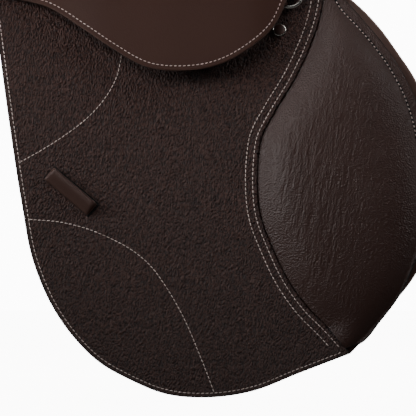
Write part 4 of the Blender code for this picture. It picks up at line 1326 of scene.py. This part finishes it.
def make_fittings():
    for tag in ("r", "l"):
        for node, name, material, body, bevel in (
            ("buckle_guard", "guard_hide", STRAP_HIDE, f"buckle_guard_{tag}", 0.6 * MM),
            ("front_chape", "front_chape_hide", SKIRT_CALF, f"flap_{tag}", 0.3 * MM),
            ("rear_chape", "rear_chape_hide", SKIRT_CALF, "root", 0.3 * MM),
        ):
            folded(f"{node}_{tag}", f"{name}_{tag}", material, body, bevel)


# Keeper

KEEPER_X, KEEPER_Z, KEEPER_ANGLE = 0.0349, -0.1365, -41
KEEPER_LONG, KEEPER_WIDE, KEEPER_RISE, KEEPER_WALL = 43 * MM, 11.2 * MM, 6.5 * MM, 2.0 * MM


def on_right(obj, x, z, offset, degrees=0):
    """Moves a flat-lying piece (X along, Y across, Z out) onto the right side's leather."""
    turn = Matrix.Rotation(math.radians(degrees), 4, "Z")
    obj.data.transform(frame_at(x, z, offset) @ turn)


def make_keeper():
    """A strap loop let into the flap: one long side is skived down, the other stands open over a slit.
    Near-black boxes on the flap at its ends and along its open side are painted shade for the slits.
    """
    bpy.ops.object.select_all(action="DESELECT")
    bpy.ops.mesh.primitive_cube_add(size=1)
    obj = bpy.context.object
    edit(obj)
    for count, normal in ((42, (1, 0, 0)), (16, (0, 1, 0))):
        for share in np.linspace(-0.5, 0.5, count)[1:-1]:
            bpy.ops.mesh.select_all(action="SELECT")
            bpy.ops.mesh.bisect(plane_co=tuple(float(share) * n for n in normal), plane_no=normal)
    done()
    cube = coordinates(obj)
    along, across = cube[:, 0] * KEEPER_LONG, cube[:, 1] * KEEPER_WIDE
    bend = rounded(KEEPER_LONG / 2 - np.abs(along), 3.2 * MM) * 1.1
    swell = 0.30 + 0.70 * ease((cube[:, 1] + 0.5) / 0.7)
    lip = rounded(KEEPER_WIDE / 2 - across, 0.9 * MM) + 0.6 * rounded(across + KEEPER_WIDE / 2, 1.2 * MM)
    top = np.maximum((KEEPER_RISE - 0.8 * MM - bend) * swell - lip, 0.3 * MM)
    feet = np.abs(along) > KEEPER_LONG / 2 - 4.5 * MM
    low = np.where(feet, 0.1 * MM, np.maximum(top - KEEPER_WALL, 0.1 * MM))
    z = np.where(cube[:, 2] > 0, top, low)
    move_to(obj, np.stack([along, across, z], axis=1))
    no_inked_edge(obj)
    smooth(obj, 45)
    wear(obj, KEEPER_CALF)
    on_right(obj, KEEPER_X, KEEPER_Z, FLAP_OUT, KEEPER_ANGLE)
    both_sides(obj, "keeper_leather", "flap", ["keeper"])
    half_long, half_wide = KEEPER_LONG / 2, KEEPER_WIDE / 2
    # Painted shade: thin near-black boxes laid on the flap where the slits at the ends and along the open
    # side would be in shadow
    for label, size, spot in (
        ("rear", (1.0 * MM, KEEPER_WIDE, 0.5 * MM), (-half_long - 0.3 * MM, 0)),
        ("front", (2.2 * MM, KEEPER_WIDE + 1.6 * MM, 0.9 * MM), (half_long + 0.6 * MM, 0.4 * MM)),
        ("long", (KEEPER_LONG + 1.0 * MM, 2.2 * MM, 1.1 * MM), (0, half_wide + 0.7 * MM)),
    ):
        bpy.ops.object.select_all(action="DESELECT")
        bpy.ops.mesh.primitive_cube_add(size=1)
        slit = bpy.context.object
        move_to(slit, coordinates(slit) * np.array(size) + np.array([*spot, 0]))
        bake_in(slit, "BEVEL", width=0.2 * MM, segments=2)
        smooth(slit, 40)
        wear(slit, PAINTED_SHADE)
        on_right(slit, KEEPER_X, KEEPER_Z, FLAP_OUT - 0.1 * MM, KEEPER_ANGLE)
        both_sides(slit, f"keeper_slit_{label}", "flap")


# Rings and nails

DEE_WIRE = 1.4 * MM
DEE_X, DEE_Z, DEE_WIDE = 0.1995, 0.0195, 18.5 * MM
DEE_STAND = FLAP_OUT + GAP + DEE_WIRE + 0.5 * MM + 1.6 * MM


def ring_spots(width):
    """A D-shaped ring's centre line: a straight bar, then a half circle hanging from it."""
    radius = width / 2
    spots = [(-radius + width * share, 0.0) for share in np.linspace(0.06, 0.94, 12)]
    turns = np.linspace(0, math.pi, 33)
    return spots + [(radius * math.cos(t), -radius * 1.04 - radius * math.sin(t)) for t in turns]


def make_ring(name, width, matrix, node):
    spots = [matrix @ Vector((x, z, 0)) for x, z in ring_spots(width)]
    obj = rod(name, spots, DEE_WIRE, 5, closed=True)
    smooth(obj, 60)
    wear(obj, NICKEL)
    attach(obj, node)
    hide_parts(node)


def make_rings():
    for tag, side in (("r", -1), ("l", 1)):
        flip = Matrix.Diagonal((1, -side, 1, 1))
        base = flip @ frame_at(DEE_X, DEE_Z, DEE_STAND)
        make_ring(f"front_ring_{tag}", DEE_WIDE, base, f"front_dee_{tag}")
        low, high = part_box(f"rear_dee_{tag}")
        near = Vector(((low.x + high.x) / 2, (low.y + high.y) / 2, high.z - DEE_WIRE))
        across = Matrix(((0, 0, 1, 0), (1, 0, 0, 0), (0, 1, 0, 0), (0, 0, 0, 1)))
        wide = high.y - low.y - 2 * DEE_WIRE
        make_ring(f"rear_ring_{tag}", wide, Matrix.Translation(near) @ across, f"rear_dee_{tag}")


NAIL_X, NAIL_Z = 0.1916, -0.0142
NAIL_HEAD, NAIL_DOME = 4.6 * MM, 2.0 * MM
NAIL_RIM, NAIL_RIM_WIRE = 4.75 * MM, 0.55 * MM


def nail_part(name, radius, height, material, hollow):
    """A shallow domed head, or the raised metal rim round it."""
    bpy.ops.object.select_all(action="DESELECT")
    if hollow:
        bpy.ops.mesh.primitive_torus_add(major_radius=radius, minor_radius=height, major_segments=48,
                                         minor_segments=12)
    else:
        bpy.ops.mesh.primitive_uv_sphere_add(segments=40, ring_count=20, radius=radius)
        obj = bpy.context.object
        edit(obj)
        bpy.ops.mesh.bisect(plane_co=(0, 0, 0), plane_no=(0, 0, -1), clear_outer=True, use_fill=True)
        done()
        points = coordinates(obj)
        points[:, 2] *= height / radius
        move_to(obj, points)
    obj = bpy.context.object
    obj.name = name
    smooth(obj, 50)
    wear(obj, material)
    return obj


def make_nails():
    for label, radius, height, material, hollow in (
        ("head", NAIL_HEAD, NAIL_DOME, LACQUER, False),
        ("rim", NAIL_RIM, NAIL_RIM_WIRE, NICKEL, True),
    ):
        obj = nail_part(label, radius, height, material, hollow)
        shift = GAP + (NAIL_RIM_WIRE if hollow else 0.1 * MM)
        on_right(obj, NAIL_X, NAIL_Z, FLAP_OUT + shift)
        both_sides(obj, f"flap_nail_{label}", "flap", None if hollow else ["flap_nail"])
    for tag in ("l", "r"):
        folded(f"pommel_nail_{tag}", f"pommel_nail_head_{tag}", NICKEL, "root", 0.2 * MM, 60)


# Hard parts that keep their frame solids

def dress_frame():
    for material, nodes in (
        (BEECH, ["tree_cantle"]),
        (TREE_PAINT, ["tree_rail_l", "tree_rail_r"]),
        (STEEL, ["gullet_plate"]),
        (WEBBING, ["seat_web", "cross_web_front", "cross_web_rear"]),
        (FOAM, ["seat_foam"]),
    ):
        for node in nodes:
            wear(frame["nodes"][node], material)
    for tag in ("l", "r"):
        folded(f"stirrup_bar_{tag}", f"bar_forging_{tag}", STEEL, "root", 0.8 * MM)
        folded(f"bar_catch_{tag}", f"catch_forging_{tag}", STEEL, f"bar_catch_{tag}", 0.5 * MM)


make_camera()
make_stage()
make_flap()
make_lining()
make_knee_pad()
make_flap_rows()
make_skirt()
make_sweat_flap()
make_keeper()
make_rings()
make_nails()
make_seat()
make_seat_seams()
make_welts()
make_cantle_facing()
make_pommel_cover()
make_hinge_strips()
make_panels()
make_blocks()
make_straps()
make_fittings()
dress_frame()
bpy.data.objects.remove(STITCH)
